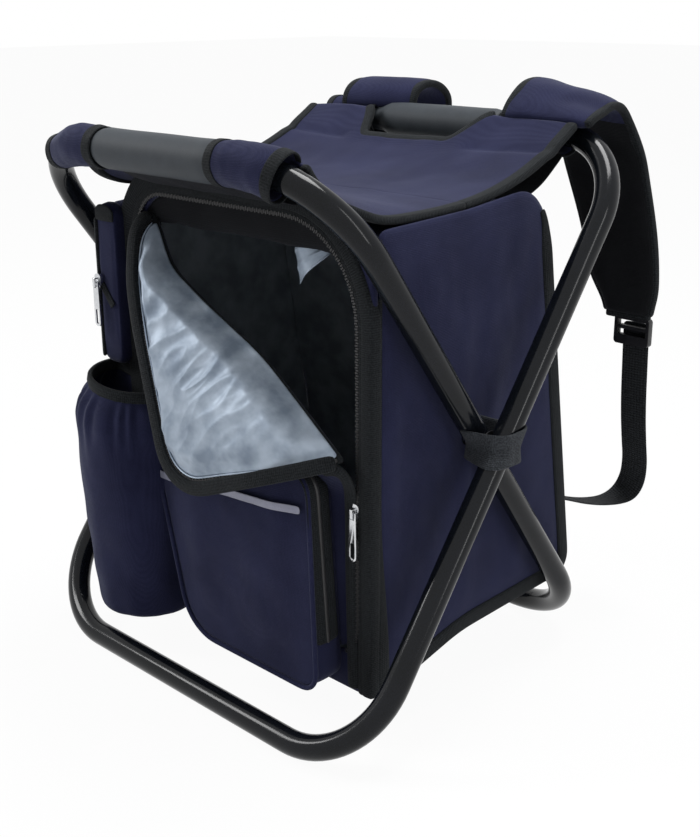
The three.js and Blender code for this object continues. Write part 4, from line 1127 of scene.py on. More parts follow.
@dataclass
class BagFront:
    """The front of the bag: surround, door, folded corner, main zip and the cloth that hangs from the bars."""

    opening: Corners = ((-98.0, 62.0, 28.0), (137.0, 62.0, 28.0), (137.0, 378.3, 68.0), (-98.0, 378.3, 30.0))
    rim: Corners = ((-150.0, 33.0, 10.0), (150.0, 33.0, 10.0), (150.0, 386.3, 46.0), (-150.0, 379.0, 62.0))
    fold_start: Vector = field(default_factory=lambda: Vector((-90, -103, 368.05)))
    fold_end: Vector = field(default_factory=lambda: Vector((136, -120, 220.05)))
    lift: float = math.radians(8)
    lining_inset: float = 12.0
    flap_corner: float = 44.0
    flap_bulge: float = 20.0
    hem_width: float = 13.0
    edge_arch: tuple[tuple[float, float, float], ...] = (
        (120, -117, 211), (128.8, -115.0, 213.5), (133.8, -110.5, 209), (133.6, -104.5, 199), (131.6, -100.8, 186),
        (130.8, -99.6, 158), (131.2, -99.6, 111), (132.6, -99.8, 62), (133.0, -99.8, 38))

    def surround(self, palette: Palette) -> None:
        """The ring of cloth round the door."""
        centre, half, outer_line = Vector((18, 220)), 2.5, rounded_outline(self.rim, 4.0)
        grid: Grid = []
        for a, b in rounded_outline(self.opening, 6.0):
            way = (Vector((a, b)) - centre).normalized()
            far = max(outer_line, key=lambda p: (Vector(p) - centre).normalized().dot(way))
            grid.append([])
            for share in (0.0, 0.12, 0.3, 0.5, 0.7, 0.88, 1.0):
                place = Vector((a + (far[0] - a) * share, BAG_FRONT + 2.5, b + (far[1] - b) * share))
                place.y -= (1.2 + 0.5 * crease(place, 22, 41)) * arc(share)
                grid[-1].append(place)
        points = [place + Vector((0, out, 0)) for out in (-half, half) for line in grid for place in line]
        piece = mesh_piece("front_surround", points, shell_faces(len(grid), len(grid[0]), ring=True), palette.navy)
        settle(piece, Slot.NAVY, "bag_front_surround")

    def zip_line(self, offset: float, y: float, low: float) -> list[Vector]:
        """The line of the open zip round the top of the door.

        Args:
            offset: Distance outside the door's edge.
            y: Its depth.
            low: Where it ends at the bottom of both sides.

        Returns:
            Points from the right foot, over the top, to the left foot.
        """
        outline = inset_outline(rounded_outline(self.opening, 4.0), -offset)
        points = [Vector((a, y, b)) for a, b in outline if b > low]
        points.sort(key=lambda p: math.atan2(p.z - 200, p.x - 18) % (2 * math.pi))
        right = [p for p in points if p.z <= 200 and p.x > 18]
        return sorted(right, key=lambda p: p.z) + [p for p in points if p not in right]

    def main_zip(self, palette: Palette) -> None:
        """Tape and teeth of the main zip on the surround, the tape wider at the left."""
        line = [p for p in self.zip_line(0.5, BAG_FRONT - 2.2, 66.0) if p.x < 60 or p.z > 88]
        line = resample([Vector((137.5, BAG_FRONT - 2.2, z)) for z in range(35, 88, 6)] + line, 6.0)
        grid: Grid = []
        for place, along in zip(line, tangents(line)):
            across = Vector((0, 1, 0)).cross(along)
            width = 12.8 + 17.2 * smooth(40.0, -84.0, place.x) - 7.0 * smooth(300.0, 210.0, place.z) * (place.x < 0)
            width -= 8.0 * smooth(335.0, 368.0, place.z) * smooth(-40.0, -80.0, place.x)
            width = min(width, 149.8 - place.x) if place.x > 60 else width
            grid.append([place + across * width * share + FORWARD * (0.9 * arc(share) - 0.8 * hill(share, 0.34, 0.03))
                         for share in (0.0, 0.12, 0.3, 0.34, 0.38, 0.7, 0.94, 1.0)])
            grid[-1] += [place + across * (width + 0.9) - FORWARD * back for back in (2.5, 8.5)]
        settle(sheet_piece("main_zip_tape_looks", grid, 1.8, palette.tape), Slot.CHARCOAL, "main_zip_tape")
        teeth = zip_teeth("main_zip_teeth", self.zip_line(0.8, BAG_FRONT - 3.2, 66.0), FORWARD, palette.teeth)
        settle(teeth, Slot.NYLON)

    def fold_axes(self) -> tuple[Vector, Vector, Vector]:
        """The fold's direction, the way the flap hangs, and the way its lining looks."""
        along = (self.fold_end - self.fold_start).normalized()
        flat = Vector((along.x, 0, along.z)).normalized()
        down = Vector((flat.z, 0, -flat.x)) * math.cos(self.lift) + FORWARD * math.sin(self.lift)
        down = (down - along * down.dot(along)).normalized()
        out = along.cross(down)
        return along, down, out if out.y < 0 else -out

    def from_fold(self, x: float, z: float) -> tuple[float, float]:
        """How far along the fold and how far above it a place of the door's front lies, seen from the front."""
        start, end = self.fold_start, self.fold_end
        unit = Vector((end.x - start.x, end.z - start.z)).normalized()
        rel = Vector((x - start.x, z - start.z))
        return rel.dot(unit), rel.x * -unit.y + rel.y * unit.x

    def flap_outline(self, inset: float, step: float = 6.0) -> Outline:
        """The folded corner's outline as distances along and below the fold.

        Args:
            inset: Distance inside the door's edge.
            step: The spacing of points.

        Returns:
            The outline, starting at the fold's start.
        """
        start, end = self.fold_start, self.fold_end
        stretch = (end - start).length / math.hypot(end.x - start.x, end.z - start.z)
        corners = [(a, b, self.flap_corner if a > 0 and b > 300 else r) for a, b, r in self.opening]
        kept = []
        for along, up in (self.from_fold(a, b) for a, b in inset_outline(rounded_outline(corners, 3.0), inset + 1.0)):
            if up > 0.6:
                kept.append(((along + 0.8 * inset * smooth(190.0, 255.0, along)) * stretch, up))
        kept.sort(key=lambda p: -math.atan2(p[1], p[0] - 128))
        line = resample([Vector((a, b, 0)) for a, b in kept], step)
        return [(line[0].x, 0.0)] + [(p.x, p.y) for p in line] + [(line[-1].x, 0.0)]

    def flap_rim(self, inset: float, step: float = 6.0) -> list[Vector]:
        """The folded corner's outline, closed by even points along the fold."""
        outline = self.flap_outline(inset, step)
        first, last = outline[0][0], outline[-1][0]
        count = max(int(abs(last - first) / 7), 2)
        outline += [(last + (first - last) * k / count, 0.0) for k in range(1, count)]
        return [Vector((a, b, 0)) for a, b in outline]

    def flap_point(self, a: float, b: float, out: float) -> Vector:
        """A point of the folded corner.

        Args:
            a: Distance along the fold.
            b: Distance below it.
            out: Height on the lining's side.

        Returns:
            The point.
        """
        along, down, look = self.fold_axes()
        roll = -9.0 * (1 - min(b / 16.0, 1.0)) ** 2
        bulge = self.flap_bulge * smooth(-6.0, 58.0, b)
        sag = self.sag(a) * (1 - smooth(0.0, 56.0, b))
        return self.fold_start + along * a + down * (b + sag) + look * (out + roll + bulge)

    def flap_line(self, inset: float, out: float) -> list[Vector]:
        """A line round the folded corner's free edge, some way in and out."""
        return [self.flap_point(a, b, out) for a, b in self.flap_outline(inset)[1:-1]]

    @staticmethod
    def sag(a: float) -> float:
        """How far the fold hangs below its straight line at a distance along it."""
        return 13.0 * hill(a, 46.0, 28.0) + 12.0 * hill(a, 86.0, 36.0) + 4.0 * hill(a, 130.0, 30.0)

    def flap(self, palette: Palette) -> None:
        """The folded corner of the door: outer cloth, edge tape, zip teeth and crinkled lining."""
        look = self.fold_axes()[2]
        shared = {"centre": Vector((0.55 * (self.fold_end - self.fold_start).length, 50, 0)),
                  "lay": lambda place, height: self.flap_point(place.x, place.y, height)}

        def plain(share: float, _: Vector) -> float:
            return -1.8 * smooth(0, 0.1, share)

        def crinkle(share: float, place: Vector) -> float:
            puff = 0.6 + 8.0 * smooth(0, 0.3, share)
            ridge = 1 - abs(crease(place, 40, 57, (1.8, 0.6, 1)))
            thin = 1 - abs(crease(place, 20, 59, (1.7, 0.6, 1)))
            wave = 3.4 * crease(place, 50, 53, (1.6, 0.7, 1)) + 3.6 * (ridge ** 4 - 0.5) + 1.3 * (thin ** 3 - 0.5)
            return max(puff + wave * smooth(0.0, 0.1, share), 0.3 * puff)

        cloth = pad_piece("door_flap_cloth", self.flap_rim(0.0), look, plain, 5.5, palette.tape, 16, **shared)
        cloth.data.materials.append(palette.navy)
        hem_line = [row(place) for place in self.flap_line(0.0, 0.0)]
        for face in cloth.data.polygons:
            inside = min((face.center - place).length for place in hem_line) > self.hem_width * MM
            face.material_index = 1 if inside and face.normal.dot(look) < -0.3 else 0
        settle(cloth, Slot.CHARCOAL, "door_flap", body=Body.FLAP)
        rim = resample(self.flap_rim(self.lining_inset, 3.0), 2.7, True)
        foil = pad_piece("door_flap_lining", rim, look, crinkle, 0.4, palette.foil, 52, **shared)
        settle(foil, Slot.FOIL, body=Body.FLAP)
        teeth = zip_teeth("door_flap_teeth", self.flap_line(self.lining_inset - 2.8, 0.9), look, palette.teeth)
        settle(teeth, Slot.NYLON, body=Body.FLAP)
        for name, inset, out, section, finish, slot in (
                ("door_flap_hem", self.lining_inset - 0.4, 1.4, round_section(0.8, 6), palette.foil, Slot.FOIL),
                ("door_flap_band", 3.6, 0.4, flat_section(11.5, 6.0, 0.8), palette.tape, Slot.CHARCOAL)):
            settle(strip_piece(name, self.flap_line(inset, out), look, section, finish), slot, body=Body.FLAP)

    def door(self, palette: Palette) -> None:
        """The closed lower part of the door, swelling out to the fold."""
        kept = [p for p in inset_outline(rounded_outline(self.opening, 6.0), 1.2) if self.from_fold(*p)[1] < -1.5]
        turn = next(k for k in range(len(kept)) if math.dist(kept[k], kept[k - 1]) > 40)
        kept = [Vector(p) for p in kept[turn:] + kept[:turn]]
        last, gap = kept[-1], kept[0] - kept[-1]
        start, end = self.fold_start, self.fold_end
        unit = Vector((end.x - start.x, end.z - start.z)).normalized()
        steps = int(gap.length / 6)
        for place in (last + gap * k / steps for k in range(1, steps)):
            drop = self.sag(math.dist(place, (start.x, start.z))) + 4.0
            kept.append(place + Vector((unit.y, -unit.x)) * drop)

        def crown(share: float, place: Vector) -> float:
            return (1.2 + 1.6 * crease(place, 34, 61)) * smooth(0, 0.2, share)

        rim = [Vector((a, self.door_depth(a, b), b)) for a, b in kept]
        piece = pad_piece("door_lower", rim, FORWARD, crown, 4.0, palette.navy, 18)
        settle(piece, Slot.NAVY, "door_panel")
        edge = resample(curve(self.edge_arch, 8), 4.0)
        tape = strip_piece("door_edge_tape", edge, Vector((0.12, -1, 0)), flat_section(10.0, 3.4, 1.2), palette.tape)
        settle(tape, Slot.CHARCOAL)

    def door_depth(self, x: float, z: float) -> float:
        """Depth of the door's face, which comes forward towards the fold."""
        along, above = self.from_fold(x, z)
        share = min(max(along / (self.fold_end - self.fold_start).length, 0.0), 1.0)
        return BAG_FRONT + 1.0 - (4.0 + 15.0 * share) * (1 - smooth(0.0, 33.0, -above))

    def hanger(self, word: str, body: Body, ends: Outline, xs: tuple[float, float, int], sag: float, seed: float,
               blend: tuple[float, float], palette: Palette, **sheet: object) -> None:
        """Black cloth from a bar down to the bag.

        Args:
            word: Which bar it hangs from.
            body: The bar's body, not used.
            ends: Its upper and lower y and z.
            xs: Its first and last x and its columns.
            sag: How far it sags.
            seed: Which wrinkle pattern.
            blend: The y of the bag and of the bar, not used.
            palette: The finishes.
            sheet: Its flat size and the pieces that it rests on, not used.
        """
        def place(down: float, across: float) -> Vector:
            x = xs[0] + (xs[1] - xs[0]) * across
            spot = Vector((x, *ends[0])).lerp(Vector((x, *ends[1])), down)
            spot.z -= (sag + 1.4 * crease(spot, 20, seed)) * arc(down)
            return spot

        piece = sheet_piece(f"{word}_hanger_cloth", lay_grid(8, xs[2], place), 1.6, palette.black)
        bend(piece, Slot.CHARCOAL, f"{word}_hanger", body=body, start=(blend[0], BLEND_Z), end=(blend[1], BLEND_Z))

    def mouth(self, palette: Palette) -> None:
        """The lining's hood, from the opening's upper edge back to the shell inside, and a loose fold."""
        line = resample(self.zip_line(-0.4, 0.0, 240.0), 6.0)
        grid: Grid = []
        for place in line:
            grid.append([])
            for share in (0.0, 0.12, 0.3, 0.55, 0.8, 1.0):
                x = place.x + (4.0 if place.x > 60 else -4.0 if place.x < -60 else 0.0) * share
                z = place.z + (min(place.z, 355.0) - place.z) * min(2.6 * share, 1.0)
                point = Vector((x, -94.0 + 3.0 * share + 15.0 * share ** 2, z))
                point.z -= (2.0 * crease(point, 24, 43) + 1.0 * crease(point, 10, 44)) * arc(share)
                grid[-1].append(point)
        # The hood is lining made of black cloth, as painted shade under the bag's top.
        settle(sheet_piece("lining_hood", grid, 0.9, palette.black), Slot.LINING)
        top_left, top_right, low_right, low_left = (
            Vector(place) for place in ((57, -79, 355), (80, -76, 360), (88, -74, 351), (63, -80, 326)))

        def fold(down: float, across: float) -> Vector:
            point = top_left.lerp(low_left, down).lerp(top_right.lerp(low_right, down), across)
            point.y -= 5.0 * arc(across) + 2.5 * crease(point, 16, 45) + 1.5 * (round(12 * down) % 5 == 2)
            return point

        settle(sheet_piece("lining_fold", lay_grid(12, 10, fold), 0.9, palette.foil), Slot.FOIL)

    def build(self, palette: Palette) -> None:
        """Build the whole front, and the cloth at the rear bar."""
        self.surround(palette)
        self.mouth(palette)
        self.main_zip(palette)
        self.door(palette)
        self.flap(palette)
        self.hanger("front", Body.INNER, [(-141.0, 404.5), (-97.5, 387.0)], (-69, 82, 40), 3.0, 71, (-97, -141),
                    palette, flat=(0.151, 0.047), rests_on=["front_sleeve_right_cloth", "front_surround"])
        self.hanger("rear", Body.OUTER, [(139.5, 404.0), (84.5, 372.0)], (-130, 130, 36), 3.5, 73, (85, 140),
                    palette, flat=(0.26, 0.064), rests_on=["rear_sleeve_right_cloth", "bag_back"])


@dataclass
class Pockets:
    """The front zip pocket, the bottle pocket and the small zip pocket."""

    back_y: float = BAG_FRONT - 0.3
    front_corners: Corners = ((-24.0, 39.0, 40.0), (121.0, 39.0, 14.0), (108.0, 205.0, 18.0), (-74.0, 205.0, 18.0))
    side_corners: Corners = (
        (-142.0, 236.0, 6.0), (-117.0, 236.0, 6.0), (-117.0, 368.0, 12.0), (-142.0, 368.0, 12.0))
    bottle: Vector = field(default_factory=lambda: Vector((-103, -106, 0)))
    bottle_low: float = 30.0
    bottle_high: float = 226.0
    bottle_radii: Outline = field(default_factory=lambda: [
        (30, 35.5), (34, 40.5), (42, 42.5), (70, 45.5), (108, 48.5), (144, 50.0), (200, 50.0), (212, 47.5),
        (220, 42.0), (226, 38.0)])

    def front(self, z: float) -> float:
        """Depth of the front pocket's face at a height."""
        return self.back_y - 30.0 + 6.0 * (z - 39.0) / 166.0

    @staticmethod
    def front_crown(share: float, place: Vector) -> float:
        """Height of the front pocket's padding."""
        folds = 2.2 * crease(place, 58, 81, (1, 1, 0.7)) + 0.8 * crease(place, 22, 83)
        return 3.0 * smooth(0.0, 0.5, share) + folds * smooth(0, 0.3, share)

    def front_pocket(self, palette: Palette) -> None:
        """The padded pocket with its gusset, piping and reflective strip."""
        outline = rounded_outline(self.front_corners, 5.0)
        rim = [Vector((a, self.front(b) + 2.0, b)) for a, b in outline]
        face = pad_piece("front_pocket_face", rim, FORWARD, self.front_crown, 2.0, palette.navy, 20)
        settle(face, Slot.NAVY, "front_pocket")
        rings = [[Vector((a, self.back_y + (self.front(b) + 2.4 - self.back_y) * share, b)) for a, b in inset_outline(
            outline, 1.2 - arc(share))] for share in (0.0, 0.1, 0.3, 0.5, 0.7, 0.9, 1.0)]
        settle(sleeve_piece("front_pocket_gusset", rings, 1.6, palette.navy), Slot.NAVY)
        piping = [Vector((a, self.front(b) + 1.2, b)) for a, b in outline]
        cord = strip_piece("front_pocket_piping", piping, FORWARD, round_section(2.1, 8), palette.navy, closed=True)
        settle(cord, Slot.NAVY)
        self.front_zip(palette)
        strip = [Vector((x, self.front(170.0) - 2.4, 163.0 + 0.093 * (x + 56))) for x in range(-61, 108, 5)]
        for place in strip:
            place.y += 2.0 - self.front_crown(min(1.0, min(place.x + 64, 110 - place.x) / 70), place)
        band = strip_piece("pocket_reflective_looks", strip, FORWARD, flat_section(6.2, 0.8), palette.reflect)
        settle(band, Slot.REFLECTIVE, "pocket_reflective_strip")

    def front_zip(self, palette: Palette) -> None:
        """The front pocket's zip, up its right side and along its top."""
        mid = self.back_y - 15.0
        turns = (0.2, 0.5, 0.8, 1.1, 1.4)
        line = [Vector((110.3 + 0.078 * (186 - z), mid, z)) for z in range(75, 186, 5)]
        line += [Vector((91.6 + 18.4 * math.cos(turn), mid, 187 + 18.4 * math.sin(turn))) for turn in turns]
        line += [Vector((x, mid, 205.4)) for x in range(86, -2, -6)]
        looks = [self.pocket_way(place) for place in line]
        tape = strip_piece("pocket_zip_tape_looks", line, looks, flat_section(22.0, 1.4, 0.3), palette.tape)
        settle(tape, Slot.CHARCOAL, "pocket_zip_tape")
        raised = [place + look * 0.9 for place, look in zip(line, looks)]
        settle(strip_piece("pocket_zip_coil", raised, looks, flat_section(3.6, 1.6, 0.4), palette.teeth), Slot.NYLON)

    @staticmethod
    def pocket_way(place: Vector) -> Vector:
        """The way the pocket's gusset looks at a place."""
        if place.z < 187:
            return Vector((1, 0, 0))
        return Vector((0, 0, 1)) if place.x < 92 else Vector((place.x - 92, 0, place.z - 187)).normalized()

    def bottle_ring(self, share: float, count: int = 144) -> list[Vector]:
        """One ring of the pouch, pressed against the bag's front, at a share of its height."""
        z = self.bottle_low + (self.bottle_high - self.bottle_low) * share
        gather = smooth(0.72, 0.93, share) * smooth(1.0, 0.95, share) * 1.4
        ring = []
        for k in range(count):
            turn = 2 * math.pi * k / count
            way = Vector((math.cos(turn), math.sin(turn), 0))
            spot = way * 50 + Vector((0, 0, z))
            fold = 2.2 * crease(spot, 36, 93, (1, 1, 0.45)) + 1.0 * crease(spot, 15, 94, (1, 1, 0.6))
            pleat = gather * math.sin(k * 0.9 + 5.0 * crease(Vector((k, 0, 0)), 11, 91))
            size = self.belly(z) + pleat + fold * (1 - smooth(0.85, 1.0, share))
            place = self.bottle + way * size + Vector((0, 0, z))
            place.z += 7.0 * share * (self.bottle.x - place.x) / 50
            if place.y > BAG_FRONT - 1.0 and place.x > -153.0:
                place.y = BAG_FRONT - 1.0
            ring.append(place)
        return ring

    def belly(self, height: float) -> float:
        """The pouch's radius at a height."""
        for (low, first), (high, last) in zip(self.bottle_radii, self.bottle_radii[1:]):
            if height <= high:
                return first + (last - first) * (height - low) / (high - low)
        return self.bottle_radii[-1][1]

    def bottle_pocket(self, palette: Palette, steps: int = 52) -> None:
        """The round pouch, closed at its foot and gathered under its elastic rim."""
        rings = [self.bottle_ring(step / steps) for step in range(steps + 1)]
        foot = sum(rings[0], Vector()) / len(rings[0])
        walls = [[place.lerp(foot, share) for place in rings[0]] for share in (0.12, 0.4, 0.75)] + rings
        inner = []
        for index, ring in enumerate(walls):
            middle, lift = sum(ring, Vector()) / len(ring), Vector((0, 0, 2.0 if index < 4 else 0.0))
            inner.append([place + (middle - place).normalized() * min(1.8, (middle - place).length * 0.5) + lift
                          for place in ring])
        points = [place for ring in walls + inner[::-1] for place in ring]
        pouch = mesh_piece("bottle_pocket_cloth", points, tube_faces(2 * len(walls), len(rings[0])), palette.navy)
        settle(pouch, Slot.NAVY, "bottle_pocket")
        line = [place + Vector((0, 0, 1.0)) for place in rings[-1]]
        looks = [Vector((p.x - self.bottle.x, p.y - self.bottle.y, 0)).normalized() for p in line]
        rim = strip_piece("bottle_pocket_rim_looks", line, looks, flat_section(9.5, 4.0, 0.8), palette.tape,
                          closed=True, soft=False)
        settle(rim, Slot.CHARCOAL, "bottle_pocket_rim")

    def side_pocket(self, palette: Palette) -> None:
        """The small upper left pocket with its binding and slanted zip."""
        def crown(share: float, place: Vector) -> float:
            return 1.2 * smooth(0, 0.5, share) + 1.0 * crease(place, 24, 95) * smooth(0, 0.3, share)

        def cap(down: float, across: float) -> Vector:
            return Vector((-141.5 + 24.0 * across, self.back_y - 12.9 - arc(across),
                           353.0 + (13.5 - 5.0 * abs(2 * across - 1) ** 3) * down))

        rim = [Vector((a, self.back_y - 12.4, b)) for a, b in rounded_outline(self.side_corners, 4.0)]
        body = pad_piece("side_pocket_cloth", rim, FORWARD, crown, 12.4, palette.navy, 14)
        settle(body, Slot.NAVY, "side_pocket")
        line = [Vector((-141.7, self.back_y - 12.6, z)) for z in range(240, 358, 5)]
        look = Vector((-0.4, -1, 0))
        edge = strip_piece("side_pocket_binding", line, look, flat_section(4.6, 3.0, 0.3), palette.tape)
        settle(edge, Slot.CHARCOAL)
        settle(sheet_piece("side_pocket_cap", lay_grid(4, 8, cap), 1.6, palette.tape), Slot.CHARCOAL)
        way = Vector((math.cos(math.radians(-50)), 0, math.sin(math.radians(-50))))
        line = [Vector((-131.0, self.back_y - 14.4, 295.0)) + way * t for t in range(-13, 14, 2)]
        tape = strip_piece("side_zip_tape_looks", line, FORWARD, flat_section(7.0, 1.2, 0.5), palette.tape)
        settle(tape, Slot.CHARCOAL, "side_zip_tape")

    def build(self, palette: Palette) -> None:
        """Build the three pockets."""
        self.front_pocket(palette)
        self.bottle_pocket(palette)
        self.side_pocket(palette)


# ---- small hard pieces and straps


@dataclass
class ZipSet:
    """A zip slider with its hinged pull, shaped over the CAD pieces that carry it."""

    prefix: str
    slider_body: Body
    pull_body: Body

    def build(self, palette: Palette) -> None:
        """Plate both CAD pieces and round their edges."""
        for part, body in (("slider", self.slider_body), ("pull", self.pull_body)):
            node = f"{self.prefix}_zip_{part}"
            settle(cast_piece(node, palette.chrome, 0.35, 2, math.radians(40)), Slot.CHROME, node, body=body)


@dataclass
class ShoulderStrap:
    """One padded strap with bound edges, its ladder lock and the webbing below."""

    side: int
    top_x: float
    tip_x: float = 144.5
    top_width: float = 80.0
    tip_width: float = 64.0
    roll: float = math.radians(12)
    yaw: float = 0.0
    columns: int = 16
    rise: tuple[tuple[float, float], ...] = (
        (133.5, 426.5), (140, 433.5), (150.7, 440.0), (166, 446.5), (184, 444.5))
    route: tuple[tuple[float, float], ...] = (
        (198, 431), (206, 405), (210, 370), (212, 335), (211.5, 300), (210, 268))
    webbing: tuple[tuple[float, float, float], ...] = (
        (158.5, 214.2, 262), (159, 214.2, 241), (159.5, 214.5, 220), (160, 215.0, 198), (160.5, 216.5, 176),
        (160.5, 220, 155), (159, 226, 134), (155, 230, 115), (149, 228, 102), (144, 216, 97), (140, 195, 100),
        (138, 170, 108), (137, 148, 117), (137, 133.6, 123))

    def spot(self, way: float, place: Vector, look: Vector, share: float, spare: float = 0.0) -> Vector:
        """A point of the pad's middle surface.

        Args:
            way: The share of the way along the pad.
            place: The middle line there.
            look: The way the pad's face looks there.
            share: From -1 to 1 across the pad.
            spare: Distance kept from the pad's edge.

        Returns:
            The point.
        """
        drift = smooth(0.25, 0.95, way)
        centre = self.top_x + (self.tip_x - self.top_x) * drift
        width = self.top_width + (self.tip_width - self.top_width) * drift
        rolled = self.roll * smooth(-0.03, 0.13, way) * (1 - smooth(0.3, 0.5, way))
        turned = math.tan(self.yaw) * (1 - smooth(0.2, 0.45, way))
        taper = 1 - (0.62 * smooth(0.8, 1.0, way) ** 1.6 if share * self.side < 0 else 0.1 * smooth(0.9, 1.0, way))
        reach = share * (width / 2 - spare) * taper
        across = Vector((math.cos(rolled), -self.side * turned, 0)) - look * self.side * math.sin(rolled)
        return Vector((self.side * centre, place.y, place.z)) + across * reach

    def pad(self, palette: Palette) -> None:
        """The padded part: cloth between two bound edges."""
        middle = resample(curve(((0, y, z) for y, z in self.rise + self.route), 8), 6.0)
        looks, count = [Vector((0, -along.z, along.y)) for along in tangents(middle)], len(middle)
        stations = [(index / (count - 1), place, look) for index, (place, look) in enumerate(zip(middle, looks))]
        grid: Grid = []
        for station in stations:
            grid.append([])
            for share in (2 * j / self.columns - 1 for j in range(self.columns + 1)):
                point = self.spot(*station, share)
                fold = (1.4 * crease(point, 28, 101) + 0.6 * crease(point, 12, 103)) * (1 - share ** 4)
                grid[-1].append(point + station[2] * fold)

        def depth(i: int, j: int) -> float:
            seams = 2.4 * hill(i, 0.09 * count, 1.1) + 1.8 * hill(i, 0.4 * count, 1.1)
            return 10.5 - 5.0 * abs(2 * j / self.columns - 1) ** 5 - seams

        name = f"shoulder_pad_{side_word(self.side)}"
        piece = sheet_piece(f"{name}_cloth", grid, depth, palette.navy)
        # The faces turned to the bag below the top take black cloth: the pad's dark underside, with painted shade on it
        # as well.
        piece.data.materials.append(palette.black)
        for face in piece.data.polygons:
            face.material_index = 1 if face.center.z < 0.425 and face.normal.y < -0.25 else 0
        self.hang(piece, Slot.NAVY, name)
        edges = [(word, [self.spot(*station, side, 2.5) for station in stations], looks)
                 for word, side in (("edge_a", -1), ("edge_b", 1))]
        for word, line, ways in edges + [("tip_edge", grid[-1], looks[-1])]:
            edge = strip_piece(f"{name}_{word}", line, ways, flat_section(8.5, 6.4, 0.4), palette.tape)
            self.hang(edge, Slot.CHARCOAL)

    @staticmethod
    def hang(piece: Piece, slot: Slot, *nodes: str) -> Piece:
        """Bake a piece of the pad's transform through bend() and hide the CAD nodes that it stands for."""
        return bend(piece, slot, *nodes, body=Body.OUTER, start=(200, 282), end=(200, 422))

    def tail(self, palette: Palette) -> None:
        """The webbing from the ladder lock to the bag's lower corner."""
        line = resample(curve(((self.side * x, y, z) for x, y, z in self.webbing), 8), 5.0)
        looks = [(Vector((1, 0, 0)) - along * along.x).normalized().cross(along) for along in tangents(line)]
        word, width = side_word(self.side), 25.0
        piece = strip_piece(f"strap_webbing_{word}_looks", line, looks, flat_section(width, 1.8), palette.web)
        settle(piece, Slot.CHARCOAL, f"strap_webbing_{word}")

    def build(self, palette: Palette) -> None:
        """Build the pad, its webbing and the nylon ladder lock."""
        self.pad(palette)
        self.tail(palette)
        lock = f"ladder_lock_{side_word(self.side)}"
        settle(cast_piece(lock, palette.nylon, 0.8, 3, math.radians(30)), Slot.NYLON, lock)


@dataclass
class PivotStrap:
    """Dark webbing that hugs both tubes where they cross."""

    side: int
    low: float = PIVOT_Z - 12.0
    high: float = PIVOT_Z + 13.0

    def ring(self, z: float) -> list[Vector]:
        """The band's line round both tubes at one height."""
        above, below = max(z - PIVOT_Z, 0.0), max(PIVOT_Z - z, 0.0)
        wide, narrow = 12.6 + 0.7 * above + 0.2 * below, 12.6 + 0.7 * below + 0.2 * above
        middle = (wide + narrow) / 2
        places = ((161.0, 2.5 - wide), (166.0, 0.3 - wide), (176.0, -middle), (187.0, -narrow), (194.0, 5 - narrow),
                  (196.0, -0.4 * narrow), (196.2, 0.0), (196.0, 0.4 * wide), (194.0, wide - 5), (187.0, wide),
                  (176.0, middle), (166.0, narrow), (158.0, narrow), (151.5, narrow - 1))
        return curve(((self.side * x, y, z) for x, y in places), 4)

    def build(self, palette: Palette) -> None:
        """Wrap the band."""
        node = f"pivot_strap_{side_word(self.side)}"
        grid = [self.ring(self.low + (self.high - self.low) * k / 8) for k in range(9)]
        # The band takes the webbing copy with painted light.
        piece = settle(sheet_piece(f"{node}_web", grid, 1.9, palette.band), Slot.CHARCOAL, node)


# ---- light, floor and camera


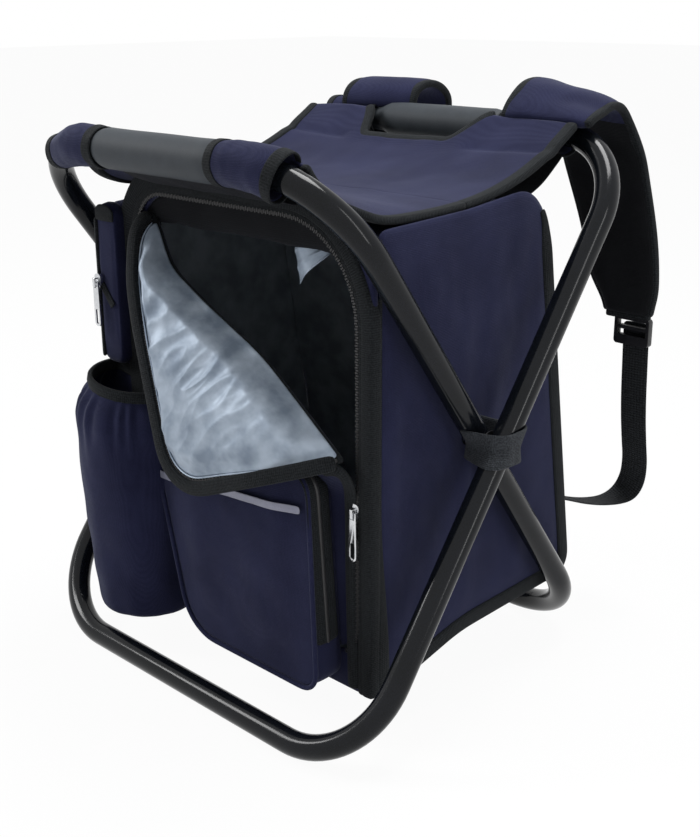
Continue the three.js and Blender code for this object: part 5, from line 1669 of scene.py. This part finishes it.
@dataclass
class Studio:
    """Plain floor, soft light and the photograph's camera."""

    azimuth: float = math.radians(44.41)
    elevation: float = math.radians(18.75)
    roll: float = math.radians(-0.27)
    distance: float = 938.11
    target: tuple[float, float, float] = (72.08, -40.30, 218.53)
    lens: float = 53.52

    def camera(self) -> None:
        """Set the camera at the photograph's angle."""
        flat = math.cos(self.elevation)
        back = Vector((math.sin(self.azimuth) * flat, -math.cos(self.azimuth) * flat, math.sin(self.elevation)))
        right = (-back).cross(Vector((0, 0, 1))).normalized()
        up = right.cross(-back)
        side = right * math.cos(self.roll) + up * math.sin(self.roll)
        top = up * math.cos(self.roll) - right * math.sin(self.roll)
        data = bpy.data.cameras.new("Camera")
        data.lens, data.sensor_width, data.clip_start, data.clip_end = self.lens, 36.0, 0.05, 60.0
        camera = bpy.data.objects.new("Camera", data)
        bpy.context.scene.collection.objects.link(camera)
        turn = Matrix((side, top, back)).transposed().to_4x4()
        camera.matrix_world = Matrix.Translation(row(Vector(self.target) + back * self.distance)) @ turn
        bpy.context.scene.camera = camera

    def floor(self) -> None:
        """A pale floor that keeps the stool's shadow."""
        bpy.ops.object.select_all(action="DESELECT")
        bpy.ops.mesh.primitive_grid_add(x_subdivisions=4, y_subdivisions=4, size=24, location=(0, 0.15, -0.0006))
        floor = bpy.context.object
        floor.name = "floor"
        material = bpy.data.materials.new("floor")
        material.use_nodes = True
        nodes, shader = Nodes(material.node_tree), material.node_tree.nodes["Principled BSDF"]
        nodes.feed(shader, {"Base Color": (0.86, 0.86, 0.87, 1), "Roughness": 0.9})
        glow = nodes.add("Emission", {"Strength": 1.0}).outputs[0]
        rays = nodes.add("LightPath").outputs
        seen = nodes.math("MULTIPLY", nodes.math("MAXIMUM", rays["Is Camera Ray"], rays["Is Glossy Ray"]), 0.95)
        mix = nodes.add("MixShader", {0: seen, 1: shader.outputs[0], 2: glow})
        nodes.feed(material.node_tree.nodes["Material Output"], {"Surface": mix.outputs[0]})
        floor.data.materials.append(material)

    def world(self) -> None:
        """White to the camera, softer as a light."""
        world = bpy.data.worlds.new("studio")
        bpy.context.scene.world = world
        world.use_nodes = True
        nodes = Nodes(world.node_tree)
        rays = nodes.add("LightPath").outputs
        seen = nodes.math("MAXIMUM", rays["Is Camera Ray"], rays["Is Transmission Ray"])
        seen = nodes.math("MAXIMUM", seen, rays["Is Glossy Ray"])
        strength = nodes.math("ADD", nodes.math("MULTIPLY", seen, 0.66), 0.34)
        nodes.feed(world.node_tree.nodes["Background"], {"Strength": strength, "Color": (1, 1, 1, 1)})

    def lamp(self, name: str, place: tuple[float, float, float], size: tuple[float, float], power: float) -> None:
        """Hang one soft box that looks at the stool.

        Args:
            name: The lamp's name.
            place: Where it hangs, in metres.
            size: Its width and height in metres.
            power: Watts.
        """
        data = bpy.data.lights.new(name, "AREA")
        data.shape, data.energy = "RECTANGLE", power
        data.size, data.size_y = size
        lamp = bpy.data.objects.new(name, data)
        bpy.context.scene.collection.objects.link(lamp)
        lamp.location = place
        way = Vector((0, 0.15, 0.22)) - Vector(place)
        lamp.rotation_euler = way.to_track_quat("-Z", "Y").to_euler()

    def build(self) -> None:
        """Set up camera, floor, world and lamps."""
        self.camera()
        self.floor()
        self.world()
        self.lamp("key", (-1.35, -1.0, 1.5), (0.4, 1.0), 19)
        self.lamp("top", (0.2, 0.5, 2.0), (0.9, 0.7), 31)
        self.lamp("side", (1.9, 0.1, 0.9), (0.18, 1.5), 6.5)


def dress_hidden(palette: Palette) -> None:
    """Give the small CAD pieces that stay in view their finishes."""
    finishes = {"spigot": palette.paint, "rivet": palette.chrome, "washer": palette.nylon}
    for name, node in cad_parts.items():
        for word, finish in finishes.items():
            if word in name:
                node.data.materials.clear()
                node.data.materials.append(finish)


def main() -> None:
    """Build the stool's looks in order."""
    logging.basicConfig(level=logging.INFO, format="%(relativeCreated)d %(message)s")
    palette = Palette()
    Studio().build()
    inner = TubeLoop("inner_tube", Body.INNER, 163.486, 74.0, LEAN)
    outer = TubeLoop("outer_tube", Body.OUTER, 184.36, 69.5, -LEAN)
    for loop in (inner, outer):
        loop.build(palette.paint)
    BarEnd(inner, "front", (-62.0, 64.0), (-131.0, 122.0), grip_high=70.0, straight=0.7).build(palette)
    BarEnd(outer, "rear", (-73.0, 65.0), (-129.0, 126.5)).build(palette)
    for part in (Seat(), BagShell(), BagFront(), Pockets(), ZipSet("main", Body.MAIN_SLIDER, Body.MAIN_PULL),
                 ZipSet("pocket", Body.POCKET_SLIDER, Body.POCKET_PULL),
                 ZipSet("side", Body.SIDE_SLIDER, Body.SIDE_PULL), ShoulderStrap(1, 113.0), PivotStrap(1),
                 ShoulderStrap(-1, 74.0, top_width=70.0, roll=0.0, yaw=math.radians(12),
                               rise=((146.5, 427.0), (147.5, 435.5), (152, 442.5), (162, 447.0), (175, 447.0),
                                     (187, 442.0))), PivotStrap(-1)):
        part.build(palette)
    dress_hidden(palette)
    bpy.context.scene.view_settings.view_transform = "Standard"


if __name__ == "__main__":
    main()
